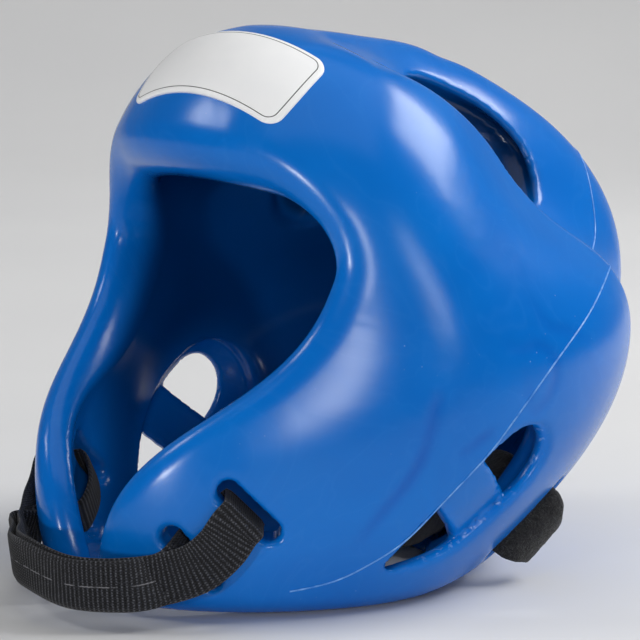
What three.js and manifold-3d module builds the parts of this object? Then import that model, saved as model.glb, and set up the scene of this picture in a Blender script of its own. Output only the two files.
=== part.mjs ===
// A head guard for contact sport: one moulding of skinned foam, with a blank label on the forehead,
// a webbing chin strap and a soft nape strap. Millimetres, +Z up. The face looks to -Y and the
// wearer's left is +X. The guard is drawn upright in the head's own frame, which then leans back
// until the guard stands on its two jaw edges and its nape.
import * as THREE from 'three';
import { mergeVertices } from 'three/addons/utils/BufferGeometryUtils.js';
import Module from 'manifold-3d';

// How the head's frame stands on the floor
const LEAN_DEG = 22.5;
const HEAD_HEIGHT = 71;
const HEAD_BACK = -11;

// Outer skin: radius from the middle of the head, a row for each height angle, and columns going
// round from the front to the back
const HEAD_MIDDLE = new THREE.Vector3(0, 8, 25);
const SKIN = [
  { elev: -70, front: 168, cheek: 153.5, side: 138.5, rear: 124.5, back: 111.5 },
  { elev: -50, front: 149.5, cheek: 136.5, side: 124.5, rear: 114.5, back: 108.5 },
  { elev: -25, front: 126.5, cheek: 114.5, side: 116.5, rear: 109, back: 110 },
  { elev: 0, front: 112.5, cheek: 106, side: 114, rear: 117, back: 118.5 },
  { elev: 25, front: 128, cheek: 122, side: 111.5, rear: 125, back: 133.5 },
  { elev: 50, front: 141, cheek: 132, side: 109.5, rear: 121, back: 142.5 },
  { elev: 70, front: 127, cheek: 125, side: 121.5, rear: 129.5, back: 135.5 },
  { elev: 90, front: 127, cheek: 127, side: 127, rear: 127, back: 127 },
];
const SKIN_COLUMNS = ['front', 'cheek', 'side', 'rear', 'back'];
const NEAREST = 40;
const TINY = 1e-3;

// Foam thickness, thinner round the ears
const WALL = 23;
const EAR_THINNING = 10;
const EAR_THIN_LONG = 42;
const EAR_THIN_WIDE = 30;
const INNER_EDGE = 8;

// Crest over the top: arc is 0 at the front, 90 at the top and 180 at the back
const CREST = [
  { arc: 60, height: 0 },
  { arc: 85, height: 5 },
  { arc: 100, height: 1 },
  { arc: 115, height: 2 },
  { arc: 130, height: 5.7 },
  { arc: 145, height: 10 },
  { arc: 160, height: 6.5 },
  { arc: 180, height: 3.5 },
  { arc: 210, height: 2 },
  { arc: 240, height: 0 },
];
const CREST_FLANK = 26;
const CREST_OVERHANG = 8;

// Valley on each side of the crest: offset is its middle's distance from the crest
const VALLEY = [
  { arc: 50, offset: 42, half: 11, depth: 0 },
  { arc: 62, offset: 42, half: 13, depth: 3 },
  { arc: 72, offset: 42.5, half: 16, depth: 7 },
  { arc: 80, offset: 43, half: 18, depth: 10 },
  { arc: 100, offset: 49, half: 19, depth: 10 },
  { arc: 120, offset: 56, half: 19, depth: 9.5 },
  { arc: 135, offset: 58, half: 18, depth: 9 },
  { arc: 155, offset: 58, half: 16, depth: 8 },
  { arc: 180, offset: 55, half: 14, depth: 5 },
  { arc: 215, offset: 52, half: 12, depth: 0 },
];
const VALLEY_EDGE = 8;
const VALLEY_EDGE_CREST = 13;
const VALLEY_STEEPEST = 1.3;
const VALLEY_FADE = 2;
const VALLEY_LIFT = 6;

// Vent through the wall in each valley, closed where its half width is below zero
const VENT = [
  { arc: 66, offset: 41.5, half: -14 },
  { arc: 75, offset: 43, half: 6 },
  { arc: 81, offset: 44.5, half: 13 },
  { arc: 88, offset: 46.5, half: 16.5 },
  { arc: 95, offset: 48.5, half: 17.5 },
  { arc: 103, offset: 51, half: 15 },
  { arc: 109, offset: 53.5, half: 9 },
  { arc: 118, offset: 57, half: -14 },
];
const VENT_SLOPE = 0.8;
const VENT_EDGE = 5;

// Face opening: half width at each height, closing to a slit under the chin
const FACE = [
  { z: -120, half: 1.5 },
  { z: -95, half: 4.3 },
  { z: -60, half: 20 },
  { z: -20, half: 50 },
  { z: 20, half: 68.5 },
  { z: 60, half: 75 },
];
const FACE_TOP = 69;
const FACE_CORNER = 28;
const FACE_BACK = -10;
const FACE_SLOPE = 0.9;
const RIM_RADIUS = 15;
const SLIT = { width: 3, front: -135, back: -62, bottom: -135, top: -84 };

// Lower edge from the chin to the nape, which comes lower in the middle of the back
const NECK = [
  { y: -110, z: -117.5 },
  { y: -20, z: -85.7 },
  { y: 40, z: -61.6 },
  { y: 110, z: -12.7 },
];
const NECK_SLOPE = 0.85;
const NECK_EDGE = 9;
const NECK_STRAIGHT = 14;
const NAPE_DROP = 17;
const NAPE_HALF = { full: 26, none: 62 };
const NAPE_REACH = { none: 62, full: 96 };

// Ear opening in the side view, its straight long axis, and the bar across it
const EAR = [
  { y: -8, z: -63 },
  { y: -1.5, z: -33 },
  { y: 8, z: -6 },
  { y: 19, z: 11 },
  { y: 30, z: 14 },
  { y: 38.5, z: 7 },
  { y: 38.5, z: -6 },
  { y: 28, z: -25 },
  { y: 19.5, z: -43 },
];
const EAR_CORNER = 14;
const EAR_TIP = { y: -4.4, z: -58.4 };
const EAR_AXIS = { y: 0.338, z: 0.941 };
const EAR_MIDDLE = { along: 39, across: 8 };
const EAR_CUT = { from: 60, to: 140 };
const BAR = { width: 28, thick: 6.5, front: -6, rear: 20, frontDepth: 0.6, rearDepth: 4.5, root: 7 };

// Strap slots on the wearer's left: a point on the skin, the long way, the way out, and the length of
// the straight sides
const REAR_SLOT = {
  at: [68.6, -62.7, -54.2],
  long: [0.42, 0.8, -0.43],
  out: [0.78, -0.56, -0.27],
  straight: 22,
};
const FRONT_SLOT = {
  at: [51.5, -69.8, -78],
  long: [0.445, 0.73, -0.515],
  out: [0.67, -0.61, -0.43],
  straight: 22,
};
const NAPE_SLOT = {
  at: [82, 66, -16],
  long: [0.14, 0.42, 0.9],
  out: [0.8, 0.58, -0.15],
  straight: 32,
};
const SLOT_HALF = 4.5;
const SLOT_DEPTH = 34;

// Chin strap: one webbing loop. The route is its outer layer from the rear slot on the wearer's
// right, where it lies close, to the one on the left. Turn says how far its face has turned towards
// the slot, and the layers column is 2 where the inner layer lies behind it.
const CHIN_WIDTH = 22;
const CHIN_THICK = 2;
const CHIN_UPRIGHT = [0, 0.47, -0.88];
const CHIN_ROUTE = [
  { x: -62.5, y: -68.5, z: -68.5, turn: 0.9, layers: 1 },
  { x: -57, y: -73, z: -76, turn: 0.75, layers: 1 },
  { x: -50.5, y: -79.5, z: -82, turn: 0.55, layers: 1 },
  { x: -45.3, y: -90.8, z: -89.7, turn: 0.4, layers: 2 },
  { x: -34, y: -95, z: -91, turn: 0.25, layers: 2 },
  { x: -22, y: -100.5, z: -94.5, turn: 0.1, layers: 2 },
  { x: 0, y: -104.5, z: -97, turn: 0, layers: 2 },
  { x: 24, y: -101.5, z: -99, turn: 0.1, layers: 2 },
  { x: 37.5, y: -95, z: -96.5, turn: 0.25, layers: 2 },
  { x: 46, y: -85.5, z: -92, turn: 0.4, layers: 2 },
  { x: 52.5, y: -76.8, z: -86.5, turn: 0.55, layers: 1 },
  { x: 58.6, y: -70.1, z: -79.5, turn: 0.75, layers: 1 },
  { x: 63.8, y: -66.6, z: -70, turn: 0.9, layers: 1 },
];
const CHIN_LAYER = 4.5;
const CHIN_STEPS = 132;

// How a strap passes a slot: out is the distance outside the skin, side the distance across it
const STRAP_GAP = 0.8;
const MOUTH = [
  { out: 0.4, side: 0 },
  { out: 1.9, side: 1.3 },
  { out: 2.6, side: 4.9 },
];
const PASS = [-2, -12, -22, -25];
const INSIDE_BULGE = 5;

// Nape strap: out through the nape slot, folded back, with its end lying outside. Share is its part
// of the full width, which is less round the fold.
const NAPE_WIDTH = 33;
const NAPE_THICK = 2.4;
const NAPE_FOLD = [
  { out: -8, side: 0, share: 1 },
  { out: 2, side: 0, share: 1 },
  { out: 6.5, side: 2.5, share: 0.88 },
  { out: 8.5, side: 7, share: 0.66 },
  { out: 7.5, side: 12, share: 0.8 },
  { out: 4, side: 16.5, share: 0.9 },
];
const NAPE_INSIDE = [
  { x: 0, z: -24, turn: 0 },
  { x: 18, z: -22, turn: 0.2 },
  { x: 36, z: -19, turn: 0.5 },
  { x: 50, z: -15.5, turn: 0.8 },
];
const NAPE_CLEAR = 6;
const NAPE_UPRIGHT = [0, 0.22, 0.97];
const NAPE_PASS = [-24, -16];
const NAPE_STEPS = 40;

// Forehead label, a patch that follows the skin
const LABEL = { width: 79, corner: 6, middle: 6.5, low: 30.6, high: 46.8, lift: 0.4, thick: 0.6 };
const LABEL_COLUMNS = 10;
const LABEL_ROWS = 8;

// Faceting: the size of a cell, and how many cells the grid reaches each way
const CELL = 9.8;
const CELLS = { side: 13, front: 13, back: 19, below: 13, above: 19 };
const CURVE_STEPS = 4;
const CORNER_SHARE = 0.45;
const FLATNESS = 0.12;
const SETTLE = { steps: 5, share: 0.5, flattest: 0.2, probe: 0.25 };
const SEARCH_STEPS = 40;
const FLOOR_BLOCK = 400;

// Colour and roughness of each piece
const LOOK = {
  shell: { color: 0x0a66c2, roughness: 0.38 },
  front_label: { color: 0xf2f2f0, roughness: 0.5 },
  chin_strap: { color: 0x1b1b1d, roughness: 0.85 },
  nape_strap: { color: 0x161618, roughness: 0.95 },
};

const wasm = await Module();
wasm.setup();

const degrees = THREE.MathUtils.radToDeg;
const clamp = THREE.MathUtils.clamp;
const smooth = THREE.MathUtils.smoothstep;

// A natural cubic spline through a table's two columns
function spline(rows, key, column) {
  const x = rows.map((row) => row[key]);
  const y = rows.map((row) => row[column]);
  const last = x.length - 1;
  const bend = new Array(last + 1).fill(0);
  const ratio = new Array(last + 1).fill(0);
  const carry = new Array(last + 1).fill(0);
  for (let i = 1; i < last; i += 1) {
    const before = x[i] - x[i - 1];
    const after = x[i + 1] - x[i];
    const jump = 6 * ((y[i + 1] - y[i]) / after - (y[i] - y[i - 1]) / before);
    const pivot = 2 * (before + after) - before * ratio[i - 1];
    ratio[i] = after / pivot;
    carry[i] = (jump - before * carry[i - 1]) / pivot;
  }
  for (let i = last - 1; i > 0; i -= 1) {
    bend[i] = carry[i] - ratio[i] * bend[i + 1];
  }
  const place = (at) => {
    let i = 0;
    while (i < last - 1 && at > x[i + 1]) {
      i += 1;
    }
    const wide = x[i + 1] - x[i];
    const left = (x[i + 1] - at) / wide;
    return { i, wide, left, right: 1 - left };
  };
  const value = (at) => {
    const { i, wide, left, right } = place(at);
    const curve = (left ** 3 - left) * bend[i] + (right ** 3 - right) * bend[i + 1];
    return left * y[i] + right * y[i + 1] + (curve * wide * wide) / 6;
  };
  const slope = (at) => {
    const { i, wide, left, right } = place(at);
    const curve = (3 * right * right - 1) * bend[i + 1] - (3 * left * left - 1) * bend[i];
    return (y[i + 1] - y[i]) / wide + (curve * wide) / 6;
  };
  const held = (at) => value(clamp(at, x[0], x[last]));
  return { value, slope, held };
}

// The skin's columns as waves round the head: radius = sum of wave k times cos(k * azimuth)
function skinWaves() {
  const count = SKIN_COLUMNS.length;
  const ends = (k) => (k === 0 || k === count - 1 ? 0.5 : 1);
  return SKIN_COLUMNS.map((name, k) => {
    const rows = SKIN.map((row) => {
      let sum = 0;
      SKIN_COLUMNS.forEach((column, j) => {
        sum += ends(j) * row[column] * Math.cos((k * j * Math.PI) / (count - 1));
      });
      return { elev: row.elev, size: (sum * ends(k) * 2) / (count - 1) };
    });
    return spline(rows, 'elev', 'size');
  });
}

const waves = skinWaves();
const crestHeight = spline(CREST, 'arc', 'height');
const valleyOffset = spline(VALLEY, 'arc', 'offset');
const valleyHalf = spline(VALLEY, 'arc', 'half');
const valleyDepth = spline(VALLEY, 'arc', 'depth');
const ventOffset = spline(VENT, 'arc', 'offset');
const ventHalf = spline(VENT, 'arc', 'half');
const faceHalf = spline(FACE, 'z', 'half');
const neckEdge = spline(NECK, 'y', 'z');

// Distance outside the plain outer skin, before the crest and the openings
function skinDistance(x, y, z) {
  const dy = y - HEAD_MIDDLE.y;
  const dz = z - HEAD_MIDDLE.z;
  const rho = Math.hypot(x, dy) + TINY;
  const r = Math.hypot(rho, dz);
  const elev = degrees(Math.atan2(dz, rho));
  const azimuth = Math.atan2(Math.abs(x), -dy);
  let radius = 0;
  let rise = 0;
  let swing = 0;
  waves.forEach((wave, k) => {
    const size = wave.value(elev);
    radius += size * Math.cos(k * azimuth);
    rise += degrees(wave.slope(elev)) * Math.cos(k * azimuth);
    swing -= k * size * Math.sin(k * azimuth);
  });
  return (r - radius) / Math.hypot(1, rise / Math.max(r, NEAREST), swing / Math.max(rho, NEAREST));
}

// Overlap of two distances, with a round edge of the given radius
function roundMax(a, b, radius) {
  const edge = Math.hypot(Math.max(a + radius, 0), Math.max(b + radius, 0));
  return Math.min(-radius, Math.max(a, b)) + edge;
}

// Places in the ear's own directions: along its long axis and across it towards the back
function earPlace(y, z) {
  const dy = y - EAR_TIP.y;
  const dz = z - EAR_TIP.z;
  return {
    along: dy * EAR_AXIS.y + dz * EAR_AXIS.z,
    across: dy * EAR_AXIS.z - dz * EAR_AXIS.y,
  };
}

function earPoint(along, across) {
  return {
    y: EAR_TIP.y + along * EAR_AXIS.y + across * EAR_AXIS.z,
    z: EAR_TIP.z + along * EAR_AXIS.z - across * EAR_AXIS.y,
  };
}

// Distance outside the inner skin, which runs straight down to the neck's edge
function innerDistance(x, y, z) {
  const ear = earPlace(y, z);
  const along = (ear.along - EAR_MIDDLE.along) / EAR_THIN_LONG;
  const across = (ear.across - EAR_MIDDLE.across) / EAR_THIN_WIDE;
  const wall = WALL - EAR_THINNING * Math.exp(-(along * along + across * across));
  return skinDistance(x, y, Math.max(z, neckEdge.held(y) + NECK_STRAIGHT)) + wall;
}

// Distance to the moulding's surface, before the ear openings and the slots are cut
function shellField(x, y, z) {
  const side = Math.abs(x);
  const out = skinDistance(x, y, z);
  const turn = degrees(Math.atan2(z - HEAD_MIDDLE.z, HEAD_MIDDLE.y - y));
  const arc = turn < -90 ? turn + 360 : turn;
  const crest = crestHeight.held(arc);
  const offset = valleyOffset.held(arc);
  const depth = Math.max(valleyDepth.held(arc), 0);
  const q = (side - offset) / valleyHalf.held(arc);

  const onCrest = smooth(offset + CREST_OVERHANG - side, 0, CREST_FLANK);
  const top = out - crest * onCrest;
  const slope = (2 * depth * Math.min(Math.abs(q), VALLEY_STEEPEST)) / valleyHalf.held(arc);
  const lift = VALLEY_LIFT * clamp(1 - depth / VALLEY_FADE, 0, 1);
  const valley = (out + depth * (1 - q * q)) / Math.hypot(1, slope) - lift;
  const edge = VALLEY_EDGE + (VALLEY_EDGE_CREST - VALLEY_EDGE) * onCrest;
  let shell = roundMax(top, valley, edge);

  const drop = NAPE_DROP * (1 - smooth(side, NAPE_HALF.full, NAPE_HALF.none));
  const lower = neckEdge.held(y) - drop * smooth(y, NAPE_REACH.none, NAPE_REACH.full);
  shell = roundMax(shell, (lower - z) * NECK_SLOPE, NECK_EDGE);

  const sides = (side - faceHalf.held(z)) * FACE_SLOPE;
  const face = Math.max(roundMax(sides, z - FACE_TOP, FACE_CORNER), y - FACE_BACK);
  shell = roundMax(shell, -face, RIM_RADIUS);

  shell = roundMax(shell, -innerDistance(x, y, z), INNER_EDGE);

  const vent = (Math.abs(side - ventOffset.held(arc)) - ventHalf.held(arc)) * VENT_SLOPE;
  return roundMax(shell, -vent, VENT_EDGE);
}

function gradient(field, p) {
  const e = SETTLE.probe;
  return new THREE.Vector3(
    field(p.x + e, p.y, p.z) - field(p.x - e, p.y, p.z),
    field(p.x, p.y + e, p.z) - field(p.x, p.y - e, p.z),
    field(p.x, p.y, p.z + e) - field(p.x, p.y, p.z - e),
  ).divideScalar(2 * e);
}

// Moves a point onto the surface where the field is zero
function settle(field, point, farthest) {
  const start = point.clone();
  for (let i = 0; i < SETTLE.steps; i += 1) {
    const slope = gradient(field, point);
    const steep = Math.max(slope.lengthSq(), SETTLE.flattest);
    point.addScaledVector(slope, -field(point.x, point.y, point.z) / steep);
  }
  return point.sub(start).clampLength(0, farthest).add(start);
}

// Meshes the surface where a field is zero: a vertex in each cell for each group of joined corners
// inside the surface, and a face across each grid edge that the surface crosses
function meshField(field, low, counts) {
  const [nx, ny, nz] = counts;
  const node = (i, j, k) => (k * ny + j) * nx + i;
  const values = new Float64Array(nx * ny * nz);
  for (let k = 0; k < nz; k += 1) {
    for (let j = 0; j < ny; j += 1) {
      for (let i = 0; i < nx; i += 1) {
        values[node(i, j, k)] = field(low.x + i * CELL, low.y + j * CELL, low.z + k * CELL);
      }
    }
  }
  const corners = [0, 1, 2, 3, 4, 5, 6, 7].map((c) => new THREE.Vector3(c & 1, (c >> 1) & 1, c >> 2));
  const edges = corners.flatMap((corner, m) => {
    const bits = [1, 2, 4].filter((bit) => !(m & bit));
    return bits.map((bit) => [m, m | bit]);
  });
  const points = [];
  const vertex = new Map();
  const addCell = (i, j, k) => {
    const place = new THREE.Vector3(i, j, k);
    const around = corners.map((c) => values[node(i + c.x, j + c.y, k + c.z)]);
    const group = corners.map((corner, m) => m);
    corners.forEach(() => edges.forEach(([m, n]) => {
      if (around[m] < 0 && around[n] < 0) {
        group[m] = Math.min(group[m], group[n]);
        group[n] = group[m];
      }
    }));
    const sums = new Map();
    edges.forEach(([m, n]) => {
      if (around[m] < 0 !== around[n] < 0) {
        const inside = group[around[m] < 0 ? m : n];
        const sum = sums.get(inside) ?? { total: new THREE.Vector3(), count: 0 };
        sum.total.add(corners[m].clone().lerp(corners[n], around[m] / (around[m] - around[n])));
        sum.count += 1;
        sums.set(inside, sum);
      }
    });
    sums.forEach((sum, inside) => {
      const middle = sum.total.divideScalar(sum.count).add(place).multiplyScalar(CELL).add(low);
      const made = points.push(settle(field, middle, CELL * SETTLE.share)) - 1;
      group.forEach((label, m) => {
        if (label === inside) {
          vertex.set(node(i, j, k) * corners.length + m, made);
        }
      });
    });
  };
  for (let k = 0; k < nz - 1; k += 1) {
    for (let j = 0; j < ny - 1; j += 1) {
      for (let i = 0; i < nx - 1; i += 1) {
        addCell(i, j, k);
      }
    }
  }
  const index = [];
  const addFace = (ring) => {
    const [p, q, r, s] = ring.map((v) => points[v]);
    const split = p.distanceTo(r) < q.distanceTo(s) ? [0, 1, 2, 0, 2, 3] : [0, 1, 3, 1, 2, 3];
    index.push(...split.map((n) => ring[n]));
  };
  for (let k = 1; k < nz - 1; k += 1) {
    for (let j = 1; j < ny - 1; j += 1) {
      for (let i = 1; i < nx - 1; i += 1) {
        const here = values[node(i, j, k)] < 0;
        [0, 1, 2].forEach((axis) => {
          const step = [0, 1, 2].map((n) => (n === axis ? 1 : 0));
          if (here !== values[node(i + step[0], j + step[1], k + step[2])] < 0) {
            const ring = [[1, 1], [0, 1], [0, 0], [1, 0]].map((back) => {
              const shift = [0, 0, 0];
              [shift[(axis + 1) % 3], shift[(axis + 2) % 3]] = back;
              const corner = shift.map((n, m) => n + (here ? 0 : step[m]));
              const cell = node(i - shift[0], j - shift[1], k - shift[2]);
              return vertex.get(cell * corners.length + corner[0] + 2 * corner[1] + 4 * corner[2]);
            });
            addFace(here ? ring : ring.reverse());
          }
        });
      }
    }
  }
  const geometry = new THREE.BufferGeometry();
  geometry.setAttribute('position', new THREE.Float32BufferAttribute(points.flatMap((p) => [...p]), 3));
  geometry.setIndex(index);
  return geometry;
}

// Solids for joining and cutting
function toSolid(geometry) {
  const bare = geometry.clone();
  bare.deleteAttribute('normal');
  bare.deleteAttribute('uv');
  const merged = mergeVertices(bare, 1e-4);
  return new wasm.Manifold(new wasm.Mesh({
    numProp: 3,
    vertProperties: new Float32Array(merged.attributes.position.array),
    triVerts: new Uint32Array(merged.index.array),
  }));
}

function toGeometry(solid) {
  const mesh = solid.getMesh();
  const geometry = new THREE.BufferGeometry();
  geometry.setAttribute('position', new THREE.BufferAttribute(mesh.vertProperties, 3));
  geometry.setIndex(new THREE.BufferAttribute(mesh.triVerts, 1));
  return geometry;
}

// A closed outline with its corners rounded
function roundedShape(corners, radius) {
  const shape = new THREE.Shape();
  corners.forEach((corner, i) => {
    const before = corners[(i + corners.length - 1) % corners.length];
    const after = corners[(i + 1) % corners.length];
    const towards = (other) => {
      const way = other.clone().sub(corner);
      return corner.clone().add(way.multiplyScalar(Math.min(radius / way.length(), CORNER_SHARE)));
    };
    const start = towards(before);
    const end = towards(after);
    if (i === 0) {
      shape.moveTo(start.x, start.y);
    } else {
      shape.lineTo(start.x, start.y);
    }
    shape.quadraticCurveTo(corner.x, corner.y, end.x, end.y);
  });
  shape.closePath();
  return shape;
}

// Prism through the wall on one side, with the ear opening's outline
function earCutter(sign) {
  const shape = roundedShape(EAR.map((row) => new THREE.Vector2(row.y, row.z)), EAR_CORNER);
  const long = EAR_CUT.to - EAR_CUT.from;
  const settings = { depth: long, bevelEnabled: false, curveSegments: CURVE_STEPS };
  const prism = new THREE.ExtrudeGeometry(shape, settings);
  const start = sign > 0 ? EAR_CUT.from : -EAR_CUT.to;
  const place = new THREE.Matrix4().makeBasis(
    new THREE.Vector3(0, 1, 0),
    new THREE.Vector3(0, 0, 1),
    new THREE.Vector3(1, 0, 0),
  );
  place.setPosition(start, 0, 0);
  return prism.applyMatrix4(place);
}

// Where a rising function passes zero
function crossing(rising, from, to) {
  let low = from;
  let high = to;
  for (let i = 0; i < SEARCH_STEPS; i += 1) {
    const middle = (low + high) / 2;
    if (rising(middle) < 0) {
      low = middle;
    } else {
      high = middle;
    }
  }
  return low;
}

// The point on the wearer's left at a given depth under the skin
function underSkin(y, z, depth) {
  const x = crossing((at) => skinDistance(at, y, z) + depth, EAR_CUT.from, EAR_CUT.to);
  return new THREE.Vector3(x, y, z);
}

// Flat bar across an ear opening, flush in front and sunk at the back
function earBar(sign) {
  const at = (along, across, depth) => {
    const place = earPoint(along, across);
    return underSkin(place.y, place.z, depth + BAR.thick / 2);
  };
  const front = at(EAR_MIDDLE.along, BAR.front, BAR.frontDepth);
  const rear = at(EAR_MIDDLE.along, BAR.rear, BAR.rearDepth);
  const above = at(EAR_MIDDLE.along + BAR.width / 2, BAR.front, BAR.frontDepth);
  const across = rear.clone().sub(front);
  const long = across.length() + 2 * BAR.root;
  const middle = front.clone().add(rear).divideScalar(2);
  across.normalize();
  const out = across.clone().cross(above.sub(front)).normalize();
  [across, out, middle].forEach((v) => v.setX(v.x * sign));
  const bar = new THREE.BoxGeometry(long, BAR.width, BAR.thick);
  const place = new THREE.Matrix4().makeBasis(across, out.clone().cross(across), out);
  return bar.applyMatrix4(place.setPosition(middle));
}

// A slot's own frame on one side of the head: long way, across, out, and its point on the skin
function slotFrame(slot, sign) {
  const out = new THREE.Vector3(...slot.out);
  const long = new THREE.Vector3(...slot.long).normalize();
  out.addScaledVector(long, -out.dot(long)).normalize();
  const across = long.clone().cross(out);
  const at = settle(skinDistance, new THREE.Vector3(...slot.at), WALL);
  [out, long, across, at].forEach((v) => v.setX(v.x * sign));
  return { out, long, across, at };
}

function slotPoint(frame, out, side) {
  return frame.at.clone().addScaledVector(frame.out, out).addScaledVector(frame.across, side);
}

function slotCutter(slot, sign) {
  const frame = slotFrame(slot, sign);
  const shape = new THREE.Shape();
  const half = slot.straight / 2;
  shape.absarc(half, 0, SLOT_HALF, -Math.PI / 2, Math.PI / 2, false);
  shape.absarc(-half, 0, SLOT_HALF, Math.PI / 2, (3 * Math.PI) / 2, false);
  shape.closePath();
  const settings = { depth: 2 * SLOT_DEPTH, bevelEnabled: false, curveSegments: CURVE_STEPS };
  const prism = new THREE.ExtrudeGeometry(shape, settings);
  prism.translate(0, 0, -SLOT_DEPTH);
  const across = frame.out.clone().cross(frame.long);
  const place = new THREE.Matrix4().makeBasis(frame.long, across, frame.out);
  return prism.applyMatrix4(place.setPosition(frame.at));
}

// The narrow slit between the two cheek flaps
function slitCutter() {
  const slit = new THREE.BoxGeometry(SLIT.width, SLIT.back - SLIT.front, SLIT.top - SLIT.bottom);
  return slit.translate(0, (SLIT.front + SLIT.back) / 2, (SLIT.top + SLIT.bottom) / 2);
}

// Everything under the floor, in the head's frame
function floorCutter(head) {
  const block = new THREE.BoxGeometry(FLOOR_BLOCK, FLOOR_BLOCK, FLOOR_BLOCK);
  block.translate(0, 0, -FLOOR_BLOCK / 2);
  head.updateMatrix();
  return block.applyMatrix4(head.matrix.clone().invert());
}

// The moulding with its openings
function shellGeometry(head) {
  const low = new THREE.Vector3(-CELLS.side, -CELLS.front, -CELLS.below).multiplyScalar(CELL);
  const counts = [2 * CELLS.side + 1, CELLS.front + CELLS.back + 1, CELLS.below + CELLS.above + 1];
  let solid = toSolid(meshField(shellField, low, counts));
  [1, -1].forEach((sign) => {
    solid = solid.subtract(toSolid(earCutter(sign)));
    solid = solid.add(toSolid(earBar(sign)));
    [REAR_SLOT, FRONT_SLOT, NAPE_SLOT].forEach((slot) => {
      solid = solid.subtract(toSolid(slotCutter(slot, sign)));
    });
  });
  solid = solid.subtract(toSolid(slitCutter()));
  solid = solid.subtract(toSolid(floorCutter(head)));
  return toGeometry(solid.simplify(FLATNESS));
}

// A flat band along a row of stations, each with its centre and the way that its width runs, whose
// length is the share of the full width
function bandGeometry(stations, width, thick, steps, closed) {
  const centres = new THREE.CatmullRomCurve3(stations.map((s) => s.centre), closed);
  const widths = new THREE.CatmullRomCurve3(stations.map((s) => s.across), closed);
  const count = closed ? steps : steps + 1;
  const points = [];
  for (let i = 0; i < count; i += 1) {
    const t = i / steps;
    const tangent = centres.getTangent(t);
    const across = widths.getPoint(t);
    const half = (across.length() * width) / 2;
    across.addScaledVector(tangent, -across.dot(tangent)).setLength(half);
    const up = tangent.clone().cross(across).setLength(thick / 2);
    [[1, 1], [-1, 1], [-1, -1], [1, -1]].forEach(([a, b]) => {
      points.push(centres.getPoint(t).addScaledVector(across, a).addScaledVector(up, b));
    });
  }
  const index = [];
  const quad = (a, b, c, d) => index.push(a, b, c, a, c, d);
  for (let i = 0; i < steps; i += 1) {
    const here = 4 * i;
    const next = 4 * ((i + 1) % count);
    for (let k = 0; k < 4; k += 1) {
      const l = (k + 1) % 4;
      quad(here + k, here + l, next + l, next + k);
    }
  }
  if (!closed) {
    quad(3, 2, 1, 0);
    quad(4 * steps, 4 * steps + 1, 4 * steps + 2, 4 * steps + 3);
  }
  const geometry = new THREE.BufferGeometry();
  geometry.setAttribute('position', new THREE.Float32BufferAttribute(points.flatMap((p) => [...p]), 3));
  geometry.setIndex(index);
  return geometry;
}

// Stations of a route in the head's frame, turned from upright towards the long way of a slot that
// is on both sides
function routeStations(rows, upright, slot) {
  return rows.map((row) => {
    const { long } = slotFrame(slot, row.x < 0 ? -1 : 1);
    return {
      centre: new THREE.Vector3(row.x, row.y, row.z),
      across: new THREE.Vector3(...upright).lerp(long, row.turn).normalize(),
    };
  });
}

// The same stations moved in towards the head by one layer
function innerLayer(stations) {
  return stations.map((station, i) => {
    const before = stations[Math.max(i - 1, 0)].centre;
    const after = stations[Math.min(i + 1, stations.length - 1)].centre;
    const inward = station.across.clone().cross(after.clone().sub(before)).normalize();
    return { centre: station.centre.clone().addScaledVector(inward, CHIN_LAYER), across: station.across };
  });
}

function mirrored(stations) {
  const flip = (v) => new THREE.Vector3(-v.x, v.y, v.z);
  return stations.map((s) => ({ centre: flip(s.centre), across: flip(s.across) }));
}

// The chin strap's way through the two slots of one side, in at the rear and out at the front
function throughSlots(sign) {
  const rear = slotFrame(REAR_SLOT, sign);
  const front = slotFrame(FRONT_SLOT, sign);
  const side = SLOT_HALF - STRAP_GAP - CHIN_THICK / 2;
  const station = (frame, out, shift) => ({
    centre: slotPoint(frame, out, side + shift),
    across: frame.long,
  });
  const mouth = (frame) => MOUTH.map((row) => station(frame, row.out, row.side));
  const pass = (frame) => PASS.map((out) => station(frame, out, 0));
  const deepest = PASS[PASS.length - 1];
  const inside = {
    centre: slotPoint(rear, deepest, side)
      .add(slotPoint(front, deepest, side))
      .divideScalar(2)
      .addScaledVector(rear.out, -INSIDE_BULGE),
    across: rear.long.clone().add(front.long).normalize(),
  };
  return [...mouth(rear).reverse(), ...pass(rear), inside, ...pass(front).reverse(), ...mouth(front)];
}

// Chin strap: the outer layer, through the slots on the left, the inner layer back across the chin,
// and through the slots on the right
function chinStrap() {
  const outer = routeStations(CHIN_ROUTE, CHIN_UPRIGHT, REAR_SLOT);
  const doubled = CHIN_ROUTE.filter((row) => row.layers === 2);
  const layer = innerLayer(routeStations(doubled, CHIN_UPRIGHT, FRONT_SLOT));
  const loop = [...outer, ...throughSlots(1), ...layer.reverse(), ...throughSlots(-1).reverse()];
  return bandGeometry(loop, CHIN_WIDTH, CHIN_THICK, CHIN_STEPS, true);
}

// Nape strap: across the inside of the nape, out through a slot on each side and folded back
function napeStrap() {
  const frame = slotFrame(NAPE_SLOT, 1);
  const side = SLOT_HALF - STRAP_GAP - NAPE_THICK / 2;
  const fold = NAPE_FOLD.map((row) => ({
    centre: slotPoint(frame, row.out, side + row.side),
    across: frame.long.clone().multiplyScalar(row.share),
  }));
  const pass = NAPE_PASS.map((out) => ({ centre: slotPoint(frame, out, side), across: frame.long }));
  const inside = NAPE_INSIDE.map((row) => {
    const clear = (y) => innerDistance(row.x, y, row.z) + NAPE_CLEAR;
    return { ...row, y: crossing(clear, HEAD_MIDDLE.y, CELLS.back * CELL) };
  });
  const half = [...routeStations(inside, NAPE_UPRIGHT, NAPE_SLOT), ...pass, ...fold];
  const other = mirrored(half.slice(1)).reverse();
  return bandGeometry([...other, ...half], NAPE_WIDTH, NAPE_THICK, 2 * NAPE_STEPS, false);
}

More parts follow.
